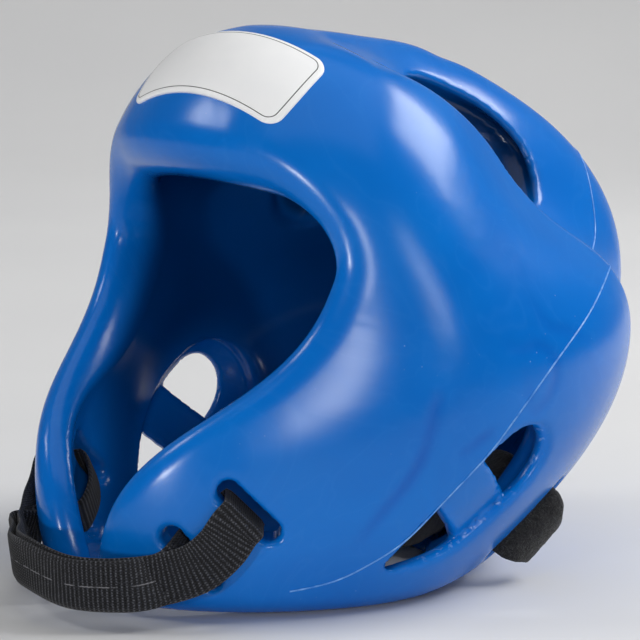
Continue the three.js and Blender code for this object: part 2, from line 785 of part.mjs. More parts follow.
// The skin's point at a sideways place and a height angle
function skinPoint(x, elev, lift) {
  const rise = THREE.MathUtils.degToRad(elev);
  let rho = SKIN[0].front * Math.cos(rise);
  for (let i = 0; i < SEARCH_STEPS; i += 1) {
    const y = HEAD_MIDDLE.y - Math.sqrt(rho * rho - x * x);
    rho -= (skinDistance(x, y, HEAD_MIDDLE.z + rho * Math.tan(rise)) - lift) * Math.cos(rise);
  }
  const y = HEAD_MIDDLE.y - Math.sqrt(rho * rho - x * x);
  return new THREE.Vector3(x, y, HEAD_MIDDLE.z + rho * Math.tan(rise));
}

// Label patch: rows of points on the skin, drawn in at the rounded corners
function labelGeometry() {
  const height = skinPoint(0, LABEL.low, 0).distanceTo(skinPoint(0, LABEL.high, 0));
  const points = [];
  const layer = (lift) => {
    for (let j = 0; j <= LABEL_ROWS; j += 1) {
      const share = (1 - Math.cos((Math.PI * j) / LABEL_ROWS)) / 2;
      const rise = share * height;
      const near = Math.min(rise, height - rise, LABEL.corner);
      const cut = LABEL.corner - Math.sqrt(LABEL.corner ** 2 - (LABEL.corner - near) ** 2);
      const half = LABEL.width / 2 - cut;
      for (let i = 0; i <= LABEL_COLUMNS; i += 1) {
        const x = LABEL.middle + half * ((2 * i) / LABEL_COLUMNS - 1);
        points.push(skinPoint(x, LABEL.low + share * (LABEL.high - LABEL.low), lift));
      }
    }
  };
  layer(LABEL.lift);
  layer(LABEL.lift + LABEL.thick);
  const across = LABEL_COLUMNS + 1;
  const size = across * (LABEL_ROWS + 1);
  const index = [];
  const quad = (a, b, c, d) => index.push(a, b, c, a, c, d);
  for (let j = 0; j < LABEL_ROWS; j += 1) {
    for (let i = 0; i < LABEL_COLUMNS; i += 1) {
      const a = j * across + i;
      quad(a + across, a + across + 1, a + 1, a);
      quad(size + a, size + a + 1, size + a + across + 1, size + a + across);
    }
    const left = j * across;
    const right = left + LABEL_COLUMNS;
    quad(left, size + left, size + left + across, left + across);
    quad(right + across, size + right + across, size + right, right);
  }
  for (let i = 0; i < LABEL_COLUMNS; i += 1) {
    const top = LABEL_ROWS * across + i;
    quad(i, i + 1, size + i + 1, size + i);
    quad(top + 1, top, size + top, size + top + 1);
  }
  const geometry = new THREE.BufferGeometry();
  geometry.setAttribute('position', new THREE.Float32BufferAttribute(points.flatMap((p) => [...p]), 3));
  geometry.setIndex(index);
  return geometry;
}

function piece(name, geometry) {
  const mesh = new THREE.Mesh(geometry, new THREE.MeshStandardMaterial(LOOK[name]));
  mesh.name = name;
  return mesh;
}

const head = new THREE.Group();
head.rotation.x = THREE.MathUtils.degToRad(-LEAN_DEG);
head.position.set(0, HEAD_BACK, HEAD_HEIGHT);
head.add(piece('shell', shellGeometry(head)));
head.add(piece('front_label', labelGeometry()));
head.add(piece('chin_strap', chinStrap()));
head.add(piece('nape_strap', napeStrap()));

const guard = new THREE.Group();
guard.add(head);

export default guard;
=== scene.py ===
import math

import bpy
import numpy as np
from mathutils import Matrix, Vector


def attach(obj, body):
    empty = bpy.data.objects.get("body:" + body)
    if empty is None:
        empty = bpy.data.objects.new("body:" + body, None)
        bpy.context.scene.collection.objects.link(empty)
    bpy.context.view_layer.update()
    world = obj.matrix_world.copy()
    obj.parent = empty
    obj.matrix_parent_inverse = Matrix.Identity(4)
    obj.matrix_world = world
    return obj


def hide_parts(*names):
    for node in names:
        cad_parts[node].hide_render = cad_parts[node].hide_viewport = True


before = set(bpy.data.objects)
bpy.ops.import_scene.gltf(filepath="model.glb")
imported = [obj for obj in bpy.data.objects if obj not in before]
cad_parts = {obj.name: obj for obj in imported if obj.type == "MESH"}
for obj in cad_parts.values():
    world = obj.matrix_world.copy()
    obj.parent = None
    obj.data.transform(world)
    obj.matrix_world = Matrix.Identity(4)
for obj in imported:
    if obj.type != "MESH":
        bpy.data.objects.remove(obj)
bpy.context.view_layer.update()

# The part's lengths are millimetres in the head's own frame: the face looks to -Y, the wearer's left
# is +X, and the frame leans back on the floor. The stage's lengths are metres.
MM = 0.001
LEAN = math.radians(22.5)
HEAD_HEIGHT = 71.0
HEAD_BACK = -11.0

# Outer skin: radius from the middle of the head for each height angle, from the front to the back
MIDDLE_Y = 8.0
MIDDLE_Z = 25.0
SKIN_ELEV = (-70, -50, -25, 0, 25, 50, 70, 90)
SKIN = {
    "front": (168, 149.5, 126.5, 112.5, 128, 141, 127, 127),
    "cheek": (153.5, 136.5, 114.5, 106, 122, 132, 125, 127),
    "side": (138.5, 124.5, 116.5, 114, 111.5, 109.5, 121.5, 127),
    "rear": (124.5, 114.5, 109, 117, 125, 121, 129.5, 127),
    "back": (111.5, 108.5, 110, 118.5, 133.5, 142.5, 135.5, 127),
}
LEAST_RADIUS = 40.0
TINY = 1e-3

# Foam thickness, thinner round the ears and towards the chin
WALL = 23.0
EAR_THINNING = 14.0
EAR_THIN_LONG = 42.0
EAR_THIN_WIDE = 30.0
INNER_EDGE = 2.0
FLAP_THINNING = 9.0
FLAP_FRONT = (20.0, 70.0)
FLAP_BELOW = (-20.0, 45.0)

# Crest, valleys and vents: arc is 0 at the front, 90 at the top and 180 at the back
CREST_ARC = (60, 85, 100, 115, 130, 145, 160, 180, 210, 240)
CREST_HEIGHT = (0, 5, 1, 2, 5.7, 10, 6.5, 3.5, 2, 0)
CREST_FLANK = 26.0
CREST_OVERHANG = 8.0
VALLEY_ARC = (50, 62, 72, 80, 100, 120, 135, 155, 180, 215)
VALLEY_OFFSET = (42, 42, 42.5, 43, 49, 56, 58, 58, 55, 52)
VALLEY_HALF = (11, 13, 16, 18, 19, 19, 18, 16, 14, 12)
VALLEY_DEPTH = (0, 3, 7, 10, 10, 9.5, 9, 8, 5, 0)
VALLEY_EDGE = 2.2
VALLEY_EDGE_CREST = 9.0
VALLEY_STEEPEST = 1.3
VALLEY_FADE = 2.0
VALLEY_LIFT = 6.0
VENT_ARC = (66, 75, 81, 88, 95, 103, 109, 118)
VENT_OFFSET = (41.5, 44.5, 47, 49.5, 51.5, 53.5, 55, 57)
VENT_HALF = (-14, 4.5, 10.5, 13.5, 14.5, 12.5, 7.5, -14)
VENT_SLOPE = 0.8
VENT_EDGE = 2.4
VENT_EDGE_CREST = 3.4
VENT_CREST_SIDE = 8.0
VENT_UNDERCUT = 16.0
VENT_LIP = (6.0, 15.0)

# Face opening, lower edge, nape and the flats that it rests on
FACE_Z = (-120, -95, -60, -20, 20, 60)
FACE_HALF = (1.5, 4.3, 19, 48, 66, 72.5)
FACE_TOP = 68.0
FACE_CORNER = 28.0
FACE_BACK = -10.0
FACE_SLOPE = 0.9
RIM_RADIUS = 17.0
NECK_Y = (-110, -20, 40, 110)
NECK_Z = (-117.5, -85.7, -61.6, -12.7)
NECK_SLOPE = 0.85
NECK_EDGE = 9.0
NECK_STRAIGHT = 14.0
NAPE_DROP = 17.0
NAPE_HALF = (26.0, 62.0)
NAPE_REACH = (62.0, 96.0)
REST_EDGE = 1.5

# Ear opening in the side view (y, z), its long axis, the space it lies in and the bar across it
EAR = ((-8, -63), (-1.5, -33), (8, -6), (19, 11), (30, 14), (38.5, 7), (38.5, -6), (28, -25), (19.5, -43))
EAR_CORNER = 12.0
CORNER_SHARE = 0.48
CORNER_STEPS = 6
EAR_TIP = (-4.4, -58.4)
EAR_AXIS = (0.338, 0.941)
EAR_MIDDLE = (39.0, 8.0)
EAR_FROM = 60.0
EAR_NEAR_X = 58.0
EAR_NEAR_Y = (-27.0, 57.0)
EAR_NEAR_Z = (-80.0, 32.0)
EAR_FRONT_EDGE = 1.2
EAR_REAR_EDGE = 4.5
EAR_REAR = (0.0, 16.0)
EAR_FLARE = 8.0
EAR_LIP = (5.5, 12.0)
BAR_MIDDLE = 41.0
BAR_HALF = 12.0
BAR_THICK = 6.5
BAR_FRONT_DEPTH = 0.5
BAR_SINK = 0.15
BAR_SINK_FROM = -6.0
BAR_SINK_REACH = 40.0
BAR_EDGE = 1.2
BAR_REACH = 22.0

# Flow marks of the moulding on the wearer's left, in the side view (y, z), each with its depth
FLOW = (
    (0.55, ((-20.8, 12.6), (-20, 4.7), (-17.6, -13), (-18.1, -24.1), (-21.2, -40.1), (-22.6, -53.3))),
    (0.4, ((6.5, 6.1), (2.4, 0.2), (-3.9, -8.9))),
    (0.3, ((-3.6, 38.8), (6.5, 37.9), (16, 42.8), (26.6, 39), (28.3, 28), (22.3, 18.1), (11.4, 30.5))),
    (0.25, ((46.8, 53.4), (32.2, 53.5), (20, 52), (8, 60))),
)
FLOW_WIDTH = 2.4
FLOW_DEEPEST = 3.0
FLOW_STEPS = 80
FLOW_TAPER = 0.6

# Where the foam is worn, and where shade is painted into its colour on the inner skin and in the vents:
# ranges of depth under the skin, and of the way to a vent
WORN_WIDTH = 1.4
WORN_ACROSS = (6.0, 14.0)
WORN_DEPTH = (3.0, 6.0)
WORN_CLEAR = 3.0
PAINTED_INNER_SHADE_DEPTH = (15.0, 22.0)
THROAT_DARK = (6.0, 13.0)
THROAT_END = (17.0, 22.0)
THROAT_NEAR = (14.0, 24.0)
THROAT_HALF = (-10.0, 0.0)

# Strap slots on the wearer's left: a point on the skin, the long way, the way out, half the straight
SLOTS = {
    "rear": ((68.6, -62.7, -54.2), (0.42, 0.8, -0.43), (0.78, -0.56, -0.27), 11.0),
    "front": ((51.5, -69.8, -78.0), (0.445, 0.73, -0.515), (0.67, -0.61, -0.43), 11.0),
    "nape": ((81.4, 64.1, -20.0), (0.14, 0.42, 0.9), (0.8, 0.58, -0.15), 18.0),
}
SLOT_HALF = 4.5
SLOT_DEPTH = 34.0
SLOT_NEAR = 48.0
SLOT_EDGE = 3.0

# Parting line of the mould on each side: y at each height, and how its bead is found and made
PARTING_Z = (-78, -70, -60, -48, -29, -3, 10, 25, 42, 64, 80, 90, 98, 105, 120, 141, 152)
PARTING_Y = (-34, -22.4, -13.8, -6.5, -0.7, 8.6, 12.9, 18.9, 28.2, 45.6, 61.5, 74, 84, 89, 89, 86.5, 84)
BEAD_RADIUS = 0.38
BEAD_SIDES = 6
BEAD_STEP = 0.8
BEAD_FROM = 130.0
BEAD_SEARCH_STEPS = 160
BEAD_SEARCH_SHARE = 0.7
BEAD_LONGEST_STEP = 2.0
BEAD_FARTHEST = 0.3
BEAD_DEEPEST = 9.0
BEAD_SHORTEST_RUN = 6

# Chin strap: the outer layer's route from the rear slot on the right to the one on the left, how far
# it has turned towards the slot, and the rows that have the inner layer behind them
CHIN_WIDTH = 20.5
CHIN_THICK = 2.0
CHIN_COLUMNS = 11
CHIN_UPRIGHT = (0.0, 0.47, -0.88)
CHIN_ROUTE = (
    (-62.5, -68.5, -68.5), (-57, -72.5, -76), (-49, -77.5, -82.5), (-42, -82, -87.5),
    (-30, -89, -91), (-18.5, -97, -95), (0, -103.5, -97), (24, -101.5, -99),
    (37.5, -95, -96.5), (46, -85.5, -92), (52.5, -76.8, -86.5), (58.6, -70.1, -79.5), (63.8, -66.6, -70),
)
CHIN_TURN = (0.9, 0.84, 0.77, 0.67, 0.5, 0.27, 0.08, 0.1, 0.25, 0.4, 0.55, 0.75, 0.9)
CHIN_DOUBLED = (3, 10)
CHIN_LAYER = 3.4

# The way through a chin strap slot: outside (way out, sideways) and inside (way out)
CHIN_MOUTH = ((0.4, 0), (1.9, 1.3), (2.6, 4.9))
CHIN_PASS = (-2, -8, -14, -17)
INSIDE_BULGE = 4.0
STRAP_GAP = 0.8

# The straps' sections and the webbing's ribs, threads and stitches
STRAP_SAMPLES = 6000
STRAP_EDGE_POWER = 8
STRAP_EDGE_LEAST = 0.06
RIB_PITCH = 1.9
RIB_HEIGHT = 0.34
RIB_STATIONS = 5
RIB_SHIFT = math.radians(45)
RIB_FADE_POWER = 6
THREAD_PITCH = 1.1

# Nape strap: inside the nape (x, z), out through the nape slot and folded back (way out, sideways)
NAPE_WIDTH = 37.0
NAPE_THICK = 2.4
NAPE_COLUMNS = 25
NAPE_STEP = 0.7
NAPE_INSIDE = ((0, -30), (18, -28), (36, -25), (50, -21))
NAPE_TURN = (0, 0.2, 0.5, 0.8)
NAPE_CLEAR = 6.0
NAPE_UPRIGHT = (0.0, 0.22, 0.97)
NAPE_PASS = (-24, -16)
NAPE_FOLD = ((-8, 0), (2, 0), (6.5, 2.5), (8.5, 7), (7.5, 12), (4, 16.5))
NAPE_SHARE = (1, 0.98, 0.86, 0.66, 0.6, 0.6)
PILE_LUMP = 0.10
PILE_WAVE = 0.12
PILE_WAVE_ALONG = (2.1, 1.3)
PILE_WAVE_ACROSS = (9.0, -5.0)
PILE_SEED = 11

# Forehead label: its edges are height angles
LABEL_WIDTH = 83.0
LABEL_CORNER = 6.0
LABEL_MIDDLE = 8.6
LABEL_LOW = 32.6
LABEL_HIGH = 47.6
LABEL_ARCH = 3.0
LABEL_BOW = 2.4
LABEL_LIFT = 0.4
LABEL_SINK = 0.6
LABEL_THICK = 0.5
LABEL_EDGE = 0.35
LABEL_LINE_SPAN = 5.0
LABEL_COLUMNS = 96
LABEL_ROWS = 56

# Meshing: the net's cells and reach, and the steps that move points onto a surface
CELL = 2.03
REACH = {"side": 123.0, "front": 126.0, "back": 184.0, "below": 126.0, "above": 184.0}
SLAB = 12
PROBE = 0.2
SETTLE_STEPS = 4
SETTLE_SHARE = 0.6
FLATTEST = 0.2
SPLINE_SAMPLES = 1500
SEARCH_STEPS = 40

# Colours
FOAM_LOW = (0.0, 0.138, 0.55)
FOAM_HIGH = (0.0, 0.166, 0.615)
FOAM_STREAK = (0.03, 0.22, 0.68)
FOAM_SPECK = (0.42, 0.56, 0.80)
FOAM_WORN = (0.34, 0.52, 0.82)
FOAM_FLOW = (0.0, 0.07, 0.42)
FOAM_PAINTED_INNER_SHADE = (0.0, 0.044, 0.20)
FOAM_PAINTED_VENT_SHADE = (0.0, 0.010, 0.045)
FLASH_LOW = (0.02, 0.20, 0.66)
FLASH_HIGH = (0.22, 0.46, 0.86)
PAPER_LOW = (0.91, 0.915, 0.92)
PAPER_HIGH = (0.94, 0.94, 0.94)
PAPER_LINE = (0.012, 0.012, 0.014)
WEBBING_LOW = (0.002, 0.002, 0.003)
WEBBING_MIDDLE = (0.014, 0.015, 0.02)
WEBBING_HIGH = (0.095, 0.10, 0.115)
STITCH = (0.30, 0.30, 0.32)
PILE_LOW = (0.002, 0.002, 0.0025)
PILE_MIDDLE = (0.009, 0.009, 0.010)
PILE_HIGH = (0.11, 0.11, 0.115)
FLOOR_LOW = (0.70, 0.70, 0.705)
FLOOR_HIGH = (0.74, 0.74, 0.74)
WORLD_COLOUR = (0.9, 0.92, 0.95)
WORLD_STRENGTH = 0.08

# Camera of the photo: azimuth from the front towards the wearer's left, height angle, distance, aim
CAMERA_AZIMUTH = 51.24
CAMERA_ELEVATION = 8.75
CAMERA_DISTANCE = 1.228
CAMERA_AIM = (0.00439, -0.00326, 0.10374)
CAMERA_LENS = 166.5
CAMERA_SENSOR = 36.0

# Lights: azimuth, height angle, distance, width, height and power
LIGHTS = {
    "right_softbox": (154, 42, 1.7, 1.1, 0.68, 25.0),
    "left_softbox": (-40, 40, 1.7, 0.4, 0.3, 4.0),
    "front_softbox": (14, 3, 1.7, 0.12, 0.12, 6.5),
    "camera_softbox": (56, 12, 1.9, 0.26, 0.36, 5.2),
    "side_softbox": (88, 15, 1.9, 0.24, 0.24, 1.8),
    "top_softbox": (51, 82, 1.8, 2.2, 2.2, 11.0),
    "backdrop_softbox": (CAMERA_AZIMUTH + 180, 42, 2.3, 2.4, 1.4, 5.0),
}
BACKDROP_SPREAD = 90.0

# Floor: flat to its bend, then curved up into a wall
FLOOR_HALF = 4.0
FLOOR_NEAR = -4.0
FLOOR_BEND = 1.6
FLOOR_CURVE = 1.2
FLOOR_CURVE_FROM = 0.1
FLOOR_CURVE_STEPS = 14
FLOOR_WALL = 4.0
FLOOR_DROP = 0.0004


# Numbers and curves

def spline(knots, values, low=None, high=None):
    x = np.array(knots, float)
    y = np.array(values, float)
    n = len(x)
    h = np.diff(x)
    system = np.eye(n)
    jump = np.zeros(n)
    for i in range(1, n - 1):
        system[i, i - 1:i + 2] = h[i - 1], 2 * (h[i - 1] + h[i]), h[i]
        jump[i] = 6 * ((y[i + 1] - y[i]) / h[i] - (y[i] - y[i - 1]) / h[i - 1])
    bend = np.linalg.solve(system, jump)
    at = np.linspace(x[0] if low is None else low, x[-1] if high is None else high, SPLINE_SAMPLES)
    i = np.clip(np.searchsorted(x, at) - 1, 0, n - 2)
    left = (x[i + 1] - at) / h[i]
    right = 1 - left
    curve = ((left ** 3 - left) * bend[i] + (right ** 3 - right) * bend[i + 1]) * h[i] ** 2 / 6
    table = left * y[i] + right * y[i + 1] + curve
    return lambda where: np.interp(where, at, table), np.gradient(table, at), at


def lookup(knots, values):
    return spline(knots, values)[0]


def smooth(x, low, high):
    """Rises from 0 to 1 with level ends."""
    t = np.clip((x - low) / (high - low), 0, 1)
    return t * t * (3 - 2 * t)


def smooth_slope(x, low, high):
    t = np.clip((x - low) / (high - low), 0, 1)
    return 6 * t * (1 - t) / (high - low)


def fade(x, low, high):
    """Falls from 1 to 0 with level ends."""
    return 1 - smooth(x, low, high)


def round_max(a, b, radius):
    edge = np.hypot(np.maximum(a + radius, 0), np.maximum(b + radius, 0))
    return np.minimum(-radius, np.maximum(a, b)) + edge


def unit(v):
    v = np.asarray(v, float)
    return v / np.linalg.norm(v, axis=-1, keepdims=True)


def square_to(tangent, way):
    """The ways turned square to the tangents."""
    return unit(way - tangent * (way * tangent).sum(1, keepdims=True))


def to_part(points):
    """Head millimetres to metres in the part's frame."""
    p = np.asarray(points, float)
    c, s = math.cos(LEAN), math.sin(LEAN)
    y = c * p[..., 1] + s * p[..., 2] + HEAD_BACK
    z = -s * p[..., 1] + c * p[..., 2] + HEAD_HEIGHT
    return np.stack([p[..., 0], y, z], -1) * MM


def skin_waves():
    """The skin's columns as waves round the head, each with its slope in the height angle."""
    columns = np.array(list(SKIN.values()), float)
    count = len(columns)
    turn = np.pi * np.arange(count) / (count - 1)
    sizes = np.linalg.solve(np.cos(np.outer(turn, np.arange(count))), columns)
    waves = []
    for row in sizes:
        value, slope, at = spline(SKIN_ELEV, row, -90, 90)
        waves.append((value, np.degrees(slope), at))
    return waves


WAVES = skin_waves()
crest_height = lookup(CREST_ARC, CREST_HEIGHT)
valley_offset = lookup(VALLEY_ARC, VALLEY_OFFSET)
valley_half = lookup(VALLEY_ARC, VALLEY_HALF)
valley_depth = lookup(VALLEY_ARC, VALLEY_DEPTH)
vent_offset = lookup(VENT_ARC, VENT_OFFSET)
vent_half = lookup(VENT_ARC, VENT_HALF)
face_half = lookup(FACE_Z, FACE_HALF)
neck_edge = lookup(NECK_Y, NECK_Z)
parting_y = lookup(PARTING_Z, PARTING_Y)


# Surfaces as distance fields

def gradient(field, points):
    slope = np.empty_like(points)
    for axis in range(3):
        step = np.zeros(3)
        step[axis] = PROBE
        high, low = points + step, points - step
        slope[:, axis] = (field(*high.T) - field(*low.T)) / (2 * PROBE)
    return slope


def settle(field, points, farthest):
    """Moves points onto the surface where the field is zero."""
    p = points.copy()
    for _ in range(SETTLE_STEPS):
        slope = gradient(field, p)
        steep = np.maximum((slope ** 2).sum(1), FLATTEST)
        p -= slope * (field(*p.T) / steep)[:, None]
    move = p - points
    length = np.linalg.norm(move, axis=1, keepdims=True)
    return points + move * np.minimum(1, farthest / np.maximum(length, TINY))


def skin_distance(x, y, z):
    dy = y - MIDDLE_Y
    dz = z - MIDDLE_Z
    across = np.hypot(x, dy) + TINY
    r = np.hypot(across, dz)
    elev = np.degrees(np.arctan2(dz, across))
    cos_turn = -dy / across
    sin_turn = np.abs(x) / across
    c, s = np.ones_like(cos_turn), np.zeros_like(cos_turn)
    radius = rise = swing = 0.0
    for k, (value, slope, at) in enumerate(WAVES):
        size = value(elev)
        radius = radius + size * c
        rise = rise + np.interp(elev, at, slope) * c
        swing = swing - k * size * s
        c, s = c * cos_turn - s * sin_turn, s * cos_turn + c * sin_turn
    up = rise / np.maximum(r, LEAST_RADIUS)
    around = swing / np.maximum(across, LEAST_RADIUS)
    return (r - radius) / np.sqrt(1 + up ** 2 + around ** 2)


def ear_place(y, z):
    """Places along and across the ear opening in the side view."""
    dy = y - EAR_TIP[0]
    dz = z - EAR_TIP[1]
    return dy * EAR_AXIS[0] + dz * EAR_AXIS[1], dy * EAR_AXIS[1] - dz * EAR_AXIS[0]


def head_arc(y, z):
    """Angle over the head in the side view."""
    arc = np.degrees(np.arctan2(z - MIDDLE_Z, MIDDLE_Y - y))
    return np.where(arc < -90, arc + 360, arc)


def inner_distance(x, y, z):
    along, across = ear_place(y, z)
    near = ((along - EAR_MIDDLE[0]) / EAR_THIN_LONG) ** 2 + ((across - EAR_MIDDLE[1]) / EAR_THIN_WIDE) ** 2
    flap = smooth(-y, *FLAP_FRONT) * smooth(-z, *FLAP_BELOW)
    wall = WALL - EAR_THINNING * np.exp(-near) - FLAP_THINNING * flap
    return skin_distance(x, y, np.maximum(z, neck_edge(y) + NECK_STRAIGHT)) + wall


def rounded_outline(corners, radius):
    corners = np.array(corners, float)
    ring = []
    for i, corner in enumerate(corners):
        ends = []
        for other in (corners[i - 1], corners[(i + 1) % len(corners)]):
            way = other - corner
            ends.append(corner + way * min(radius / np.linalg.norm(way), CORNER_SHARE))
        for t in np.linspace(0, 1, CORNER_STEPS + 1):
            ring.append((1 - t) ** 2 * ends[0] + 2 * t * (1 - t) * corner + t * t * ends[1])
    return np.array(ring)


def outline_distance(y, z, ring):
    """Distance outside a closed outline, below zero inside it."""
    near = np.full(y.shape, np.inf)
    inside = np.zeros(y.shape, bool)
    for a, b in zip(ring, np.roll(ring, -1, axis=0)):
        ey, ez = b - a
        wy, wz = y - a[0], z - a[1]
        t = np.clip((wy * ey + wz * ez) / (ey * ey + ez * ez), 0, 1)
        near = np.minimum(near, (wy - ey * t) ** 2 + (wz - ez * t) ** 2)
        if ez != 0:
            inside ^= ((a[1] > z) != (b[1] > z)) & (wy < ey * wz / ez)
    near = np.sqrt(near)
    return np.where(inside, -near, near)


def slot_frame(name):
    """A slot's point on the skin and its long, across and outward ways, on the wearer's left."""
    at, long, out, half = SLOTS[name]
    long = unit(long)
    out = np.array(out, float)
    out = unit(out - long * (out @ long))
    at = settle(skin_distance, np.array([at], float), WALL)[0]
    return {"at": at, "long": long, "out": out, "across": np.cross(long, out), "half": half}


EAR_RING = rounded_outline(EAR, EAR_CORNER)
SLOT_FRAMES = {name: slot_frame(name) for name in SLOTS}


# The moulding

def crest_and_valleys(out, side, arc):
    """The skin raised along the crest, and the same with a valley cut on each side."""
    offset = valley_offset(arc)
    half = valley_half(arc)
    depth = np.maximum(valley_depth(arc), 0)
    place = (side - offset) / half
    on_crest = smooth(offset + CREST_OVERHANG - side, 0, CREST_FLANK)
    top = out - crest_height(arc) * on_crest
    steep = np.hypot(1, 2 * depth * np.minimum(np.abs(place), VALLEY_STEEPEST) / half)
    lift = VALLEY_LIFT * np.clip(1 - depth / VALLEY_FADE, 0, 1)
    valley = (out + depth * (1 - place * place)) / steep - lift
    edge = VALLEY_EDGE + (VALLEY_EDGE_CREST - VALLEY_EDGE) * on_crest
    return top, round_max(top, valley, edge)


def cut_neck(shell, side, y, z):
    drop = NAPE_DROP * fade(side, *NAPE_HALF)
    lower = neck_edge(y) - drop * smooth(y, *NAPE_REACH)
    return round_max(shell, (lower - z) * NECK_SLOPE, NECK_EDGE)


def cut_face(shell, side, y, z):
    sides = (side - face_half(z)) * FACE_SLOPE
    face = np.maximum(round_max(sides, z - FACE_TOP, FACE_CORNER), y - FACE_BACK)
    return round_max(shell, -face, RIM_RADIUS)


def cut_vents(shell, top, side, arc):
    """The vents, hollowed under the lip on the crest's side."""
    under = VENT_UNDERCUT * smooth(-top, *VENT_LIP)
    sloped = np.hypot(1, VENT_UNDERCUT * smooth_slope(-top, *VENT_LIP))
    aside = side - vent_offset(arc)
    wide = vent_half(arc)
    vent = np.maximum(aside - wide, (-aside - under - wide) / sloped) * VENT_SLOPE
    lip = VENT_EDGE + (VENT_EDGE_CREST - VENT_EDGE) * smooth(-aside, 0, VENT_CREST_SIDE)
    return round_max(shell, -vent, lip)


def cut_ears(shell, out, side, y, z):
    """The ear openings with their rounded rear edge, and the bar across each."""
    near = (side > EAR_NEAR_X) & (y > EAR_NEAR_Y[0]) & (y < EAR_NEAR_Y[1])
    near &= (z > EAR_NEAR_Z[0]) & (z < EAR_NEAR_Z[1])
    if not near.any():
        return shell
    deep = -out[near]
    along, across = ear_place(y[near], z[near])
    inward = EAR_FROM - side[near]
    flare = EAR_FLARE * smooth(deep, *EAR_LIP)
    sloped = np.hypot(1, EAR_FLARE * smooth_slope(deep, *EAR_LIP))
    ear = np.maximum((outline_distance(y[near], z[near], EAR_RING) - flare) / sloped, inward)
    edge = EAR_FRONT_EDGE + (EAR_REAR_EDGE - EAR_FRONT_EDGE) * smooth(across, *EAR_REAR)
    open_ear = round_max(shell[near], -ear, edge)
    bar_depth = BAR_FRONT_DEPTH + BAR_SINK * np.clip(across - BAR_SINK_FROM, 0, BAR_SINK_REACH)
    layer = np.maximum(bar_depth - deep, deep - bar_depth - BAR_THICK)
    bar = round_max(np.abs(along - BAR_MIDDLE) - BAR_HALF, layer, BAR_EDGE)
    bar = np.maximum(bar, np.maximum(np.abs(across - EAR_MIDDLE[1]) - BAR_REACH, inward))
    result = shell.copy()
    result[near] = np.minimum(open_ear, bar)
    return result


def cut_slots(shell, side, y, z):
    result = shell.copy()
    for slot in SLOT_FRAMES.values():
        px, py, pz = side - slot["at"][0], y - slot["at"][1], z - slot["at"][2]
        near = px * px + py * py + pz * pz < SLOT_NEAR ** 2
        if not near.any():
            continue
        p = np.stack([px[near], py[near], pz[near]], -1)
        along, across, out = p @ slot["long"], p @ slot["across"], p @ slot["out"]
        hole = np.hypot(np.maximum(np.abs(along) - slot["half"], 0), across) - SLOT_HALF
        hole = np.maximum(hole, np.abs(out) - SLOT_DEPTH)
        result[near] = round_max(result[near], -hole, SLOT_EDGE)
    return result


def shell_field(x, y, z):
    side = np.abs(x)
    out = skin_distance(x, y, z)
    arc = head_arc(y, z)
    top, shell = crest_and_valleys(out, side, arc)
    shell = cut_neck(shell, side, y, z)
    shell = cut_face(shell, side, y, z)
    shell = round_max(shell, -inner_distance(x, y, z), INNER_EDGE)
    shell = cut_vents(shell, top, side, arc)
    shell = cut_ears(shell, out, side, y, z)
    shell = cut_slots(shell, side, y, z)
    height = -math.sin(LEAN) * y + math.cos(LEAN) * z + HEAD_HEIGHT
    return round_max(shell, -height, REST_EDGE)


# Meshing

def net(field):
    """Vertices and quads of the surface where the field is zero, alike on both sides of the head."""
    half = int(REACH["side"] / CELL)
    xs = CELL * np.arange(-half, half + 1)
    ys = np.arange(-REACH["front"], REACH["back"], CELL)
    zs = np.arange(-REACH["below"], REACH["above"], CELL)
    values = np.empty((len(xs), len(ys), len(zs)))
    for i in range(half, len(xs), SLAB):
        block = np.meshgrid(xs[i:i + SLAB], ys, zs, indexing="ij")
        values[i:i + SLAB] = field(*block)
    values[:half] = values[:half:-1]
    inside = values < 0
    cells = np.array(values.shape) - 1
    total = np.zeros((3, cells.prod()))
    count = np.zeros(cells.prod())
    crossings = []
    for axis in range(3):
        low = np.take(inside, range(cells[axis]), axis)
        high = np.take(inside, range(1, cells[axis] + 1), axis)
        index = np.argwhere(low != high)
        after = index.copy()
        after[:, axis] += 1
        value, next_value = values[tuple(index.T)], values[tuple(after.T)]
        place = index.astype(float)
        place[:, axis] += value / (value - next_value)
        ring = []
        for back in ((1, 1), (0, 1), (0, 0), (1, 0)):
            shift = np.zeros(3, int)
            shift[(axis + 1) % 3], shift[(axis + 2) % 3] = back
            cell = np.ravel_multi_index((index - shift).T, cells)
            ring.append(cell)
            count += np.bincount(cell, minlength=len(count))
            for a in range(3):
                total[a] += np.bincount(cell, weights=place[:, a], minlength=len(count))
        ring = np.stack(ring, 1)
        outward = inside[tuple(index.T)]
        crossings.append(np.where(outward[:, None], ring, ring[:, ::-1]))
    used = np.flatnonzero(count)
    number = np.full(len(count), -1)
    number[used] = np.arange(len(used))
    points = (total[:, used] / count[used]).T * CELL + np.array([xs[0], ys[0], zs[0]])
    return settle(field, points, CELL * SETTLE_SHARE), number[np.concatenate(crossings)]


def add_object(name, mesh):
    mesh.polygons.foreach_set("use_smooth", np.ones(len(mesh.polygons), bool))
    mesh.update()
    made = bpy.data.objects.new(name, mesh)
    bpy.context.scene.collection.objects.link(made)
    return made


def new_piece(name, points, faces, material, attributes=None, uv=None):
    """A smooth mesh object from head points, with named numbers on its points."""
    mesh = bpy.data.meshes.new(name)
    mesh.from_pydata(to_part(points).tolist(), [], [list(map(int, f)) for f in faces])
    for key, values in (attributes or {}).items():
        layer = mesh.attributes.new(key, "FLOAT", "POINT")
        layer.data.foreach_set("value", np.asarray(values, np.float32))
    if uv is not None:
        layer = mesh.uv_layers.new(name="UVMap")
        corners = np.empty(len(mesh.loops), int)
        mesh.loops.foreach_get("vertex_index", corners)
        layer.data.foreach_set("uv", np.asarray(uv, np.float32)[corners].ravel())
    mesh.materials.append(material)
    return add_object(name, mesh)


# Straps

